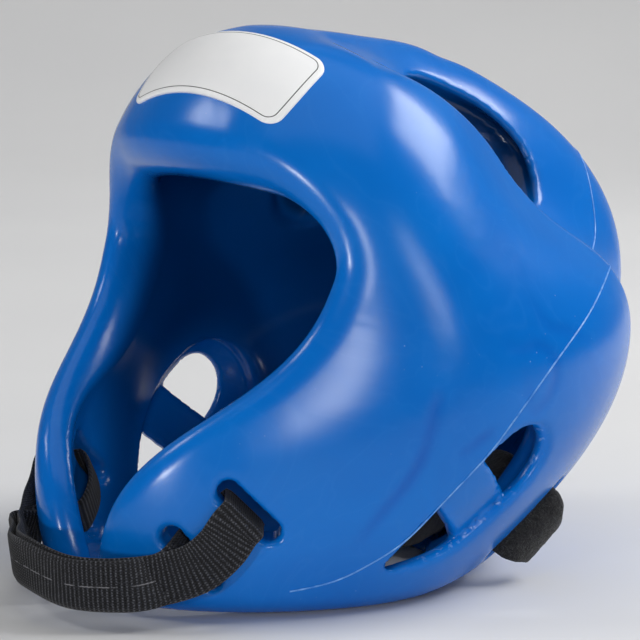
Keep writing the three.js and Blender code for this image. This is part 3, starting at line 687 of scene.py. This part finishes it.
def centripetal(points, closed, count):
    """Points along a smooth curve through the given points."""
    p = np.asarray(points, float)
    n = len(p)
    spans = n if closed else n - 1
    if closed:
        before, after, end = p[np.arange(n) - 1], p[(np.arange(n) + 1) % n], p[(np.arange(n) + 2) % n]
        start = p
    else:
        padded = np.vstack([2 * p[0] - p[1], p, 2 * p[-1] - p[-2]])
        before, start, after, end = padded[:-3], padded[1:-2], padded[2:-1], padded[3:]
    t = np.linspace(0, spans, count, endpoint=not closed)
    i = np.minimum(t.astype(int), spans - 1)
    w = (t - i)[:, None]
    p0, p1, p2, p3 = before[i], start[i], after[i], end[i]
    d0, d1, d2 = (np.maximum(np.linalg.norm(b - a, axis=1, keepdims=True) ** 0.5, TINY)
                  for a, b in ((p0, p1), (p1, p2), (p2, p3)))
    m1 = ((p1 - p0) / d0 - (p2 - p0) / (d0 + d1) + (p2 - p1) / d1) * d1
    m2 = ((p2 - p1) / d1 - (p3 - p1) / (d1 + d2) + (p3 - p2) / d2) * d1
    c2 = -3 * p1 + 3 * p2 - 2 * m1 - m2
    c3 = 2 * p1 - 2 * p2 + m1 + m2
    return p1 + m1 * w + c2 * w ** 2 + c3 * w ** 3


def even_stations(centres, ways, closed, step):
    """Centres, width ways, tangents, lengths and shares of the width at even steps along a strap."""
    centre = centripetal(centres, closed, STRAP_SAMPLES)
    way = centripetal(ways, closed, STRAP_SAMPLES)
    if closed:
        centre, way = np.vstack([centre, centre[:1]]), np.vstack([way, way[:1]])
    length = np.concatenate([[0], np.cumsum(np.linalg.norm(np.diff(centre, axis=0), axis=1))])
    count = int(round(length[-1] / step))
    at = np.linspace(0, length[-1], count + 1)
    centre, way = (np.stack([np.interp(at, length, v[:, k]) for k in range(3)], 1) for v in (centre, way))
    if closed:
        centre, way, at = centre[:-1], way[:-1], at[:-1]
        tangent = np.roll(centre, -1, 0) - np.roll(centre, 1, 0)
    else:
        tangent = np.gradient(centre, axis=0)
    tangent = unit(tangent)
    share = np.linalg.norm(way, axis=1)
    return centre, square_to(tangent, way), tangent, at, share


def slot_point(slot, out, side):
    return slot["at"] + slot["out"] * out + slot["across"] * side


def flip(points):
    return [np.array([-p[0], p[1], p[2]]) for p in points]


def turned(upright, long, turns, signs):
    """Width ways between upright and a slot's long way, on either side of the head."""
    ways = []
    for t, sign in zip(turns, signs):
        ways.append(unit((1 - t) * np.array(upright) + t * long * (sign, 1, 1)))
    return ways


def through_slots():
    """Centres and width ways through the left side's slots, in at the rear and out at the front."""
    rear, front = SLOT_FRAMES["rear"], SLOT_FRAMES["front"]
    side = SLOT_HALF - STRAP_GAP - CHIN_THICK / 2
    mouth = lambda slot: [slot_point(slot, out, side + shift) for out, shift in CHIN_MOUTH]
    passing = lambda slot: [slot_point(slot, out, side) for out in CHIN_PASS]
    inside = (slot_point(rear, CHIN_PASS[-1], side) + slot_point(front, CHIN_PASS[-1], side)) / 2
    inside = inside - rear["out"] * INSIDE_BULGE
    centres = mouth(rear)[::-1] + passing(rear) + [inside] + passing(front)[::-1] + mouth(front)
    steps = len(CHIN_MOUTH) + len(CHIN_PASS)
    ways = [rear["long"]] * steps + [unit(rear["long"] + front["long"])] + [front["long"]] * steps
    return centres, ways


def chin_route():
    outer = [np.array(p, float) for p in CHIN_ROUTE]
    signs = [-1 if p[0] < 0 else 1 for p in outer]
    outer_way = turned(CHIN_UPRIGHT, SLOT_FRAMES["rear"]["long"], CHIN_TURN, signs)
    layer_way = turned(CHIN_UPRIGHT, SLOT_FRAMES["front"]["long"], CHIN_TURN, signs)
    first, last = CHIN_DOUBLED
    layer = []
    for i in range(first, last):
        along = outer[min(i + 1, last - 1)] - outer[max(i - 1, first)]
        layer.append(outer[i] + CHIN_LAYER * unit(np.cross(layer_way[i], along)))
    centres, ways = through_slots()
    return (outer + centres + layer[::-1] + flip(centres)[::-1],
            outer_way + ways + layer_way[first:last][::-1] + flip(ways)[::-1])


def nape_inside(x, z):
    """The point of the nape strap that lies in the hollow, a little clear of the foam."""
    low, high = MIDDLE_Y, REACH["back"]
    for _ in range(SEARCH_STEPS):
        middle = (low + high) / 2
        inward = inner_distance(np.array([float(x)]), np.array([middle]), np.array([float(z)]))[0]
        low, high = (middle, high) if inward + NAPE_CLEAR < 0 else (low, middle)
    return np.array([x, low, z], float)


def nape_route():
    slot = SLOT_FRAMES["nape"]
    side = SLOT_HALF - STRAP_GAP - NAPE_THICK / 2
    half = [nape_inside(x, z) for x, z in NAPE_INSIDE]
    half += [slot_point(slot, out, side) for out in NAPE_PASS]
    half += [slot_point(slot, out, side + shift) for out, shift in NAPE_FOLD]
    ways = turned(NAPE_UPRIGHT, slot["long"], NAPE_TURN, [1] * len(NAPE_TURN))
    ways += [slot["long"]] * len(NAPE_PASS)
    ways += [slot["long"] * share for share in NAPE_SHARE]
    return flip(half[1:])[::-1] + half, flip(ways[1:])[::-1] + ways


def band_faces(count, columns, closed):
    """Faces of a strap: its skin from ring to ring, and its two ends unless it is a loop."""
    ring = 2 * columns
    faces = []
    for i in range(count if closed else count - 1):
        here, after = i * ring, (i + 1) % count * ring
        for k in range(ring):
            m = (k + 1) % ring
            faces.append((here + k, here + m, after + m, after + k))
    if closed:
        return faces
    far = (count - 1) * ring
    for k in range(columns - 1):
        m = ring - 1 - k
        faces.append((m, m - 1, k + 1, k))
        faces.append((far + k, far + k + 1, far + m - 1, far + m))
    return faces


def band(name, stations, width, thick, closed, columns, material, relief):
    """A strap with round edges: a ring of points round its section at each station."""
    centre, across, tangent, at, share = stations
    up = np.cross(tangent, across)
    edge = np.linspace(-1, 1, columns)
    v = np.concatenate([edge, edge[::-1]])
    face = np.concatenate([np.ones(columns), -np.ones(columns)])
    plump = np.sqrt(np.maximum(1 - np.abs(v) ** STRAP_EDGE_POWER, STRAP_EDGE_LEAST))
    points, uv = [], []
    for i in range(len(centre)):
        half = width / 2 * share[i]
        height = thick / 2 * plump + relief(at[i], v, face)
        points.append(centre[i] + np.outer(v * half, across[i]) + np.outer(face * height, up[i]))
        uv.append(np.stack([np.full(2 * columns, at[i] * MM), (v + 1) / 2 * width * MM], 1))
    faces = band_faces(len(centre), columns, closed)
    return new_piece(name, np.concatenate(points), faces, material,
                     {"face": np.tile(face, len(centre))}, np.concatenate(uv))


# Materials

def material(name):
    made = bpy.data.materials.new(name)
    made.use_nodes = True
    return made, made.node_tree, made.node_tree.nodes["Principled BSDF"]


def fill(tree, made, inputs):
    """Links sockets to a node's inputs and sets plain values on them."""
    for key, value in inputs.items():
        if isinstance(value, bpy.types.NodeSocket):
            tree.links.new(value, made.inputs[key])
        else:
            made.inputs[key].default_value = value


def node(tree, kind, inputs=None, **settings):
    made = tree.nodes.new(kind)
    for key, value in settings.items():
        setattr(made, key, value)
    fill(tree, made, inputs or {})
    return made


def object_coords(tree):
    return node(tree, "ShaderNodeTexCoord").outputs["Object"]


def attribute(tree, name):
    return node(tree, "ShaderNodeAttribute", attribute_name=name).outputs["Fac"]


def ramp(tree, source, *stops):
    """Colours or grey values at places from 0 to 1."""
    made = node(tree, "ShaderNodeValToRGB", {"Fac": source})
    elements = made.color_ramp.elements
    while len(elements) < len(stops):
        elements.new(0.5)
    for element, (place, colour) in zip(elements, stops):
        element.position = place
        element.color = (*colour, 1) if isinstance(colour, tuple) else (colour, colour, colour, 1)
    return made.outputs["Color"]


def mix(tree, factor, under, over):
    """One colour over another by a factor. The mix node's sockets are picked by their kind."""
    made = node(tree, "ShaderNodeMix", data_type="RGBA")
    colours = [socket for socket in made.inputs if socket.type == "RGBA"]
    factors = [socket for socket in made.inputs if socket.name == "Factor" and socket.type == "VALUE"]
    tree.links.new(factor, factors[0])
    tree.links.new(under, colours[0])
    colours[1].default_value = (*over, 1)
    return [socket for socket in made.outputs if socket.type == "RGBA"][0]


def math_node(tree, operation, *values):
    return node(tree, "ShaderNodeMath", dict(enumerate(values)), operation=operation).outputs[0]


def times(tree, a, b):
    return math_node(tree, "MULTIPLY", a, b)


def noise(tree, coords, scale, detail=2.0, distortion=0.0, rough=0.5):
    inputs = {"Vector": coords, "Scale": scale, "Detail": detail}
    inputs |= {"Distortion": distortion, "Roughness": rough}
    return node(tree, "ShaderNodeTexNoise", inputs).outputs["Fac"]


def bump(tree, height, strength, distance, normal=None):
    inputs = {"Height": height, "Strength": strength, "Distance": distance}
    if normal is not None:
        inputs["Normal"] = normal
    return node(tree, "ShaderNodeBump", inputs).outputs["Normal"]


def foam_colour(tree, coords, cloud, swirl, scuff, painted_inner_shade):
    """Cloudy, streaked and specked blue, paler where it is worn, with painted shade on the inner skin and
    in the vents.
    """
    blue = ramp(tree, cloud, (0.3, FOAM_LOW), (0.7, FOAM_HIGH))
    streak = ramp(tree, swirl, (0.47, 0.0), (0.5, 1.0), (0.53, 0.0))
    blue = mix(tree, times(tree, streak, 0.10), blue, FOAM_STREAK)
    cells = node(tree, "ShaderNodeTexVoronoi", {"Vector": coords, "Scale": 260.0}).outputs["Distance"]
    dot = ramp(tree, cells, (0.05, 1.0), (0.09, 0.0))
    patchy = ramp(tree, noise(tree, coords, scale=33.0), (0.6, 0.0), (0.72, 1.0))
    blue = mix(tree, times(tree, times(tree, dot, patchy), 0.35), blue, FOAM_SPECK)
    blue = mix(tree, times(tree, scuff, 0.5), blue, FOAM_WORN)
    blue = mix(tree, attribute(tree, "flow"), blue, FOAM_FLOW)
    # Painted shade: the inner skin is darkened in its colour, where the foam lies in shadow.
    blue = mix(tree, times(tree, painted_inner_shade, 0.9), blue, FOAM_PAINTED_INNER_SHADE)
    # Painted shade: the vents' throats are darkened nearly to black in the colour.
    return mix(tree, times(tree, attribute(tree, "painted_vent_shade"), 0.9), blue, FOAM_PAINTED_VENT_SHADE)


def foam_material():
    made, tree, shader = material("foam_skin")
    coords = object_coords(tree)
    cloud = noise(tree, coords, scale=14.0, detail=3.0, distortion=0.8)
    swirl = noise(tree, coords, scale=11.0, detail=1.5, distortion=5.0)
    ragged = ramp(tree, noise(tree, coords, scale=420.0, detail=4.0), (0.56, 0.0), (0.68, 1.0))
    scuff = times(tree, attribute(tree, "worn"), ragged)
    painted_inner_shade = attribute(tree, "painted_inner_shade")
    dull = math_node(tree, "MULTIPLY_ADD", cloud, 0.12, 0.16)
    soft = bump(tree, swirl, strength=0.10, distance=0.002)
    fine = noise(tree, coords, scale=1500.0)
    fill(tree, shader, {
        "Base Color": foam_colour(tree, coords, cloud, swirl, scuff, painted_inner_shade),
        "Roughness": math_node(tree, "ADD", dull, times(tree, scuff, 0.2)),
        "Normal": bump(tree, fine, strength=0.03, distance=0.0004, normal=soft),
        # The painted inner shade also lowers the specular level inside.
        "Specular IOR Level": ramp(tree, painted_inner_shade, (0.2, 0.36), (0.9, 0.14)),
        "IOR": 1.48,
    })
    return made


def bead_material():
    made, tree, shader = material("foam_flash")
    coords = object_coords(tree)
    patchy = noise(tree, coords, scale=240.0, detail=3.0)
    fill(tree, shader, {
        "Base Color": ramp(tree, patchy, (0.35, FLASH_LOW), (0.7, FLASH_HIGH)),
        "Roughness": 0.4,
        "Normal": bump(tree, noise(tree, coords, scale=900.0), strength=0.2, distance=0.0004),
    })
    return made


def label_material():
    made, tree, shader = material("label_face")
    coords = object_coords(tree)
    cloud = noise(tree, coords, scale=60.0, detail=3.0)
    paper = ramp(tree, cloud, (0.3, PAPER_LOW), (0.7, PAPER_HIGH))
    inset = times(tree, attribute(tree, "edge"), 1 / LABEL_LINE_SPAN)
    line = ramp(tree, inset, (0.36, 0.0), (0.375, 1.0), (0.435, 1.0), (0.45, 0.0))
    grain = noise(tree, coords, scale=900.0, detail=3.0)
    ripple = noise(tree, coords, scale=45.0, detail=1.0)
    soft = bump(tree, ripple, strength=0.03, distance=0.002)
    fill(tree, shader, {
        "Base Color": mix(tree, line, paper, PAPER_LINE),
        "Roughness": ramp(tree, grain, (0.3, 0.36), (0.7, 0.48)),
        "Normal": bump(tree, grain, strength=0.05, distance=0.0003, normal=soft),
    })
    return made


def sine(tree, place, pitch):
    return math_node(tree, "SINE", times(tree, place, 2 * math.pi / (pitch * MM)))


def stitch_marks(tree, uv, across):
    """A broken line along the middle of the strap's outer face."""
    middle = math_node(tree, "ABSOLUTE", math_node(tree, "SUBTRACT", across, CHIN_WIDTH / 2 * MM))
    line = ramp(tree, times(tree, middle, 1 / MM), (0.16, 1.0), (0.3, 0.0))
    broken = ramp(tree, noise(tree, uv, scale=170.0), (0.43, 0.0), (0.5, 1.0))
    return times(tree, times(tree, line, broken), attribute(tree, "face"))


def webbing_material():
    made, tree, shader = material("ribbed_webbing")
    uv = node(tree, "ShaderNodeUVMap", uv_map="UVMap").outputs["UV"]
    split = node(tree, "ShaderNodeSeparateXYZ", {"Vector": uv})
    along, across = split.outputs["X"], split.outputs["Y"]
    rib = sine(tree, along, RIB_PITCH)
    weave = times(tree, rib, sine(tree, across, THREAD_PITCH))
    fuzz = noise(tree, object_coords(tree), scale=1400.0, detail=3.0)
    tone = math_node(tree, "ADD", times(tree, rib, 0.22), times(tree, weave, 0.16))
    tone = math_node(tree, "ADD", tone, fuzz)
    dark = ramp(tree, tone, (0.25, WEBBING_LOW), (0.6, WEBBING_MIDDLE), (0.95, WEBBING_HIGH))
    woven = bump(tree, weave, strength=0.4, distance=0.0003)
    fill(tree, shader, {
        "Base Color": mix(tree, times(tree, stitch_marks(tree, uv, across), 0.5), dark, STITCH),
        "Roughness": 0.85,
        "Specular IOR Level": 0.3,
        "Sheen Weight": 0.12,
        "Sheen Roughness": 0.5,
        "Normal": bump(tree, fuzz, strength=0.4, distance=0.0003, normal=woven),
    })
    return made


def pile_material():
    made, tree, shader = material("loop_pile")
    coords = object_coords(tree)
    tuft = noise(tree, coords, scale=620.0, detail=5.0, distortion=1.5, rough=0.65)
    hair = noise(tree, coords, scale=2600.0, detail=2.0, distortion=3.0)
    soft = bump(tree, tuft, strength=0.8, distance=0.0012)
    both = times(tree, tuft, hair)
    fill(tree, shader, {
        "Base Color": ramp(tree, both, (0.16, PILE_LOW), (0.3, PILE_MIDDLE), (0.44, PILE_HIGH)),
        "Roughness": 0.95,
        "Sheen Weight": 0.2,
        "Sheen Roughness": 0.45,
        "Normal": bump(tree, hair, strength=0.5, distance=0.0004, normal=soft),
    })
    return made


def floor_material():
    made, tree, shader = material("pale_floor")
    cloud = noise(tree, object_coords(tree), scale=2.0, detail=3.0)
    fill(tree, shader, {
        "Base Color": ramp(tree, cloud, (0.3, FLOOR_LOW), (0.7, FLOOR_HIGH)),
        "Roughness": 0.7,
    })
    return made


# Pieces

def worn_edge(points, deep):
    """How worn the foam is: along the rear edge of the ear openings, clear of the bar."""
    ring = outline_distance(points[:, 1], points[:, 2], EAR_RING)
    along, across = ear_place(points[:, 1], points[:, 2])
    worn = np.exp(-(ring / WORN_WIDTH) ** 2) * smooth(across, *WORN_ACROSS)
    worn = worn * smooth(np.abs(along - BAR_MIDDLE), BAR_HALF, BAR_HALF + WORN_CLEAR)
    return worn * (np.abs(points[:, 0]) > EAR_FROM) * fade(deep, *WORN_DEPTH)


def press_flow_marks(points, deep):
    """Sinks the points of the skin along the flow marks, and returns how deep each mark is."""
    flow = np.zeros(len(points))
    left = np.flatnonzero((points[:, 0] > EAR_FROM) & (deep < FLOW_DEEPEST))
    for depth, line in FLOW:
        line = centripetal(line, False, FLOW_STEPS)
        apart = np.hypot(points[left, 1, None] - line[:, 0], points[left, 2, None] - line[:, 1])
        taper = np.sin(np.pi * (apart.argmin(1) + 0.5) / len(line)) ** FLOW_TAPER
        mark = depth * taper * np.exp(-(apart.min(1) / FLOW_WIDTH) ** 2)
        points[left] -= unit(gradient(skin_distance, points[left])) * mark[:, None]
        flow[left] = np.maximum(flow[left], mark)
    return flow


def shade_painted_in_vents(points, deep):
    """How much painted shade darkens the foam inside the vents."""
    arc = head_arc(points[:, 1], points[:, 2])
    half = vent_half(arc)
    apart = np.abs(np.abs(points[:, 0]) - vent_offset(arc)) - half
    shade = fade(apart, *THROAT_NEAR) * smooth(half, *THROAT_HALF)
    return shade * smooth(deep, *THROAT_DARK) * fade(deep, *THROAT_END)


def make_shell():
    points, quads = net(shell_field)
    deep = -skin_distance(*points.T)
    attributes = {
        "worn": worn_edge(points, deep),
        # Painted shade on the inner skin, growing with depth under the skin.
        "painted_inner_shade": smooth(deep, *PAINTED_INNER_SHADE_DEPTH),
        # Painted shade in the vents' throats.
        "painted_vent_shade": shade_painted_in_vents(points, deep),
        "flow": press_flow_marks(points, deep),
    }
    return new_piece("shell_foam", points, quads, foam_material(), attributes)


def label_point(x, elev, lift):
    """Points over the skin at sideways places and height angles."""
    rise = np.radians(elev)
    rho = SKIN["front"][0] * np.cos(rise)
    for _ in range(SEARCH_STEPS):
        y = MIDDLE_Y - np.sqrt(rho * rho - x * x)
        rho = rho - (skin_distance(x, y, MIDDLE_Z + rho * np.tan(rise)) - lift) * np.cos(rise)
    y = MIDDLE_Y - np.sqrt(rho * rho - x * x)
    return np.stack([x, y, MIDDLE_Z + rho * np.tan(rise)], 1)


def label_grid():
    """Sideways places, height angles and distances from the edge of the label's points, row by row."""
    low, high = label_point(np.zeros(2), np.array([LABEL_LOW, LABEL_HIGH]), 0.0)
    height = np.linalg.norm(high - low)
    share = (1 - np.cos(np.pi * np.arange(LABEL_ROWS + 1) / LABEL_ROWS)) / 2
    rise = share * height
    near = np.minimum(np.minimum(rise, height - rise), LABEL_CORNER)
    cut = LABEL_CORNER - np.sqrt(np.maximum(LABEL_CORNER ** 2 - (LABEL_CORNER - near) ** 2, 0))
    half = LABEL_WIDTH / 2 + LABEL_BOW * (1 - (2 * share - 1) ** 2)
    spread = np.sin(np.pi / 2 * np.linspace(-1, 1, LABEL_COLUMNS + 1))
    x = LABEL_MIDDLE + np.outer(half - cut, spread)
    elev = (LABEL_LOW + share * (LABEL_HIGH - LABEL_LOW))[:, None]
    elev = elev - LABEL_ARCH * ((x - LABEL_MIDDLE) / (LABEL_WIDTH / 2)) ** 2
    dx = np.abs(x - LABEL_MIDDLE) - (half[:, None] - LABEL_CORNER)
    dy = (np.abs(rise - height / 2) - (height / 2 - LABEL_CORNER))[:, None]
    beyond = np.hypot(np.maximum(dx, 0), np.maximum(dy, 0))
    out = beyond + np.minimum(np.maximum(dx, dy), 0) - LABEL_CORNER
    return x.ravel(), elev.ravel(), np.maximum(-out, 0).ravel()


def label_faces():
    """Faces of the label's front, back and rim. The back's points come after the front's."""
    wide = LABEL_COLUMNS + 1
    size = wide * (LABEL_ROWS + 1)
    faces = []
    for j in range(LABEL_ROWS):
        for i in range(LABEL_COLUMNS):
            a = j * wide + i
            faces.append((a, a + 1, a + wide + 1, a + wide))
            faces.append((size + a + wide, size + a + wide + 1, size + a + 1, size + a))
    rim = list(range(wide))
    rim += [j * wide + LABEL_COLUMNS for j in range(1, LABEL_ROWS + 1)]
    rim += [LABEL_ROWS * wide + i for i in range(LABEL_COLUMNS - 1, -1, -1)]
    rim += [j * wide for j in range(LABEL_ROWS - 1, 0, -1)]
    for a, b in zip(rim, rim[1:] + rim[:1]):
        faces.append((b, a, size + a, size + b))
    return faces


def make_label():
    x, elev, edge = label_grid()
    bulge = LABEL_THICK * (1 - np.exp(-edge / LABEL_EDGE))
    front = label_point(x, elev, LABEL_LIFT + bulge)
    back = label_point(x, elev, -LABEL_SINK)
    edges = {"edge": np.concatenate([edge, np.zeros(len(back))])}
    return new_piece("front_label_patch", np.vstack([front, back]), label_faces(), label_material(), edges)


def make_chin_strap():
    centres, ways = chin_route()
    stations = even_stations(centres, ways, True, RIB_PITCH / RIB_STATIONS)

    def relief(at, v, face):
        wave = np.cos(2 * np.pi * at / RIB_PITCH + RIB_SHIFT * (face < 0)) / 2
        return RIB_HEIGHT * wave * (1 - np.abs(v) ** RIB_FADE_POWER)

    return band("chin_strap_webbing", stations, CHIN_WIDTH, CHIN_THICK, True, CHIN_COLUMNS,
                webbing_material(), relief)


def make_nape_strap():
    centres, ways = nape_route()
    stations = even_stations(centres, ways, False, NAPE_STEP)
    count = len(stations[0])
    lumps = np.random.default_rng(PILE_SEED).normal(size=(count, 2 * NAPE_COLUMNS)) * PILE_LUMP
    (long_one, long_two), (wide_one, wide_two) = PILE_WAVE_ALONG, PILE_WAVE_ACROSS

    def relief(at, v, face):
        row = min(int(round(at / NAPE_STEP)), count - 1)
        wave = np.sin(long_one * at + wide_one * v) * np.cos(long_two * at + wide_two * v)
        return lumps[row] + PILE_WAVE * wave

    return band("nape_strap_pile", stations, NAPE_WIDTH, NAPE_THICK, False, NAPE_COLUMNS,
                pile_material(), relief)


def parting_runs():
    """The stretches of the parting line that lie on the outer skin, on the wearer's left."""
    z = np.arange(PARTING_Z[0], PARTING_Z[-1], BEAD_STEP)
    y = parting_y(z)
    x = np.full(len(z), BEAD_FROM)
    for _ in range(BEAD_SEARCH_STEPS):
        x = x - np.clip(shell_field(x, y, z) * BEAD_SEARCH_SHARE, 0, BEAD_LONGEST_STEP)
    there = np.abs(shell_field(x, y, z)) < BEAD_FARTHEST
    there &= np.abs(skin_distance(x, y, z)) < BEAD_DEEPEST
    line = np.stack([x, y, z], 1)
    changes = np.flatnonzero(np.diff(there.astype(int)) != 0) + 1
    runs = np.split(np.arange(len(z)), changes)
    return [line[run] for run in runs if there[run[0]] and len(run) >= BEAD_SHORTEST_RUN]


def tube_faces(first, count):
    """Faces of a bead: its skin from ring to ring and its two ends."""
    faces = []
    for i in range(count - 1):
        here = first + BEAD_SIDES * i
        after = here + BEAD_SIDES
        for k in range(BEAD_SIDES):
            m = (k + 1) % BEAD_SIDES
            faces.append((here + k, here + m, after + m, after + k))
    last = first + BEAD_SIDES * (count - 1)
    faces.append(tuple(first + k for k in range(BEAD_SIDES - 1, -1, -1)))
    faces.append(tuple(last + k for k in range(BEAD_SIDES)))
    return faces


def make_bead():
    """The thin raised line that the mould leaves on each side of the outer skin."""
    turn = np.linspace(0, 2 * np.pi, BEAD_SIDES, endpoint=False)[None, :, None]
    points, faces = [], []
    runs = parting_runs()
    for sign in (1, -1):
        for run in runs:
            path = run * (sign, 1, 1)
            tangent = unit(np.gradient(path, axis=0))
            out = square_to(tangent, unit(gradient(shell_field, path)))
            across = np.cross(tangent, out)
            around = np.cos(turn) * out[:, None] + np.sin(turn) * across[:, None]
            faces += tube_faces(sum(len(p) for p in points), len(path))
            points.append((path[:, None] + BEAD_RADIUS * around).reshape(-1, 3))
    return new_piece("parting_line", np.concatenate(points), faces, bead_material())


shell = make_shell()
label = make_label()
chin = make_chin_strap()
nape = make_nape_strap()
bead = make_bead()

for piece, node_name, slot_name in (
    (shell, "shell", "foam"),
    (label, "front_label", "label"),
    (chin, "chin_strap", "webbing"),
    (nape, "nape_strap", "loop"),
):
    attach(piece, "root")
    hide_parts(node_name)
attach(bead, "root")


# Floor, light and camera

def towards(azimuth, elevation):
    a, e = math.radians(azimuth), math.radians(elevation)
    return Vector((math.sin(a) * math.cos(e), -math.cos(a) * math.cos(e), math.sin(e)))


def aim_from(made, azimuth, elevation, distance):
    """Places an object round the camera's aim and turns it to look there."""
    way = towards(azimuth, elevation)
    made.location = Vector(CAMERA_AIM) + way * distance
    made.rotation_euler = way.to_track_quat("Z", "Y").to_euler()
    bpy.context.scene.collection.objects.link(made)


def make_floor():
    """A pale floor that curves up into a wall behind the part."""
    back = -towards(CAMERA_AZIMUTH, 0)
    right = Vector((-back.y, back.x, 0))
    profile = [(FLOOR_NEAR, 0.0), (FLOOR_BEND, 0.0)]
    for t in np.linspace(FLOOR_CURVE_FROM, math.pi / 2, FLOOR_CURVE_STEPS):
        profile.append((FLOOR_BEND + FLOOR_CURVE * math.sin(t), FLOOR_CURVE - FLOOR_CURVE * math.cos(t)))
    profile.append((FLOOR_BEND + FLOOR_CURVE, FLOOR_WALL))
    points, faces = [], []
    for far, up in profile:
        for sideways in (-FLOOR_HALF, FLOOR_HALF):
            points.append(back * far + right * sideways + Vector((0, 0, up - FLOOR_DROP)))
    for i in range(len(profile) - 1):
        faces.append((2 * i, 2 * i + 1, 2 * i + 3, 2 * i + 2))
    mesh = bpy.data.meshes.new("floor")
    mesh.from_pydata([tuple(p) for p in points], [], faces)
    mesh.materials.append(floor_material())
    add_object("floor", mesh)


def softbox(name, azimuth, elevation, distance, width, height, power):
    light = bpy.data.lights.new(name, "AREA")
    light.shape = "RECTANGLE"
    light.size, light.size_y = width, height
    light.energy = power
    lamp = bpy.data.objects.new(name, light)
    aim_from(lamp, azimuth, elevation, distance)
    return lamp


def light_stage():
    """The softboxes and a dim world. The backdrop's light shines straight down behind the part."""
    lamps = {name: softbox(name, *LIGHTS[name]) for name in LIGHTS}
    backdrop = lamps["backdrop_softbox"]
    backdrop.rotation_euler = (0, 0, math.radians(CAMERA_AZIMUTH))
    backdrop.data.spread = math.radians(BACKDROP_SPREAD)
    world = bpy.data.worlds.new("studio")
    world.use_nodes = True
    background = world.node_tree.nodes["Background"]
    background.inputs["Color"].default_value = (*WORLD_COLOUR, 1)
    background.inputs["Strength"].default_value = WORLD_STRENGTH
    bpy.context.scene.world = world
    bpy.context.scene.view_settings.view_transform = "Standard"


def make_camera():
    lens = bpy.data.cameras.new("camera")
    lens.lens = CAMERA_LENS
    lens.sensor_width = CAMERA_SENSOR
    camera = bpy.data.objects.new("camera", lens)
    aim_from(camera, CAMERA_AZIMUTH, CAMERA_ELEVATION, CAMERA_DISTANCE)
    bpy.context.scene.camera = camera


make_floor()
light_stage()
make_camera()
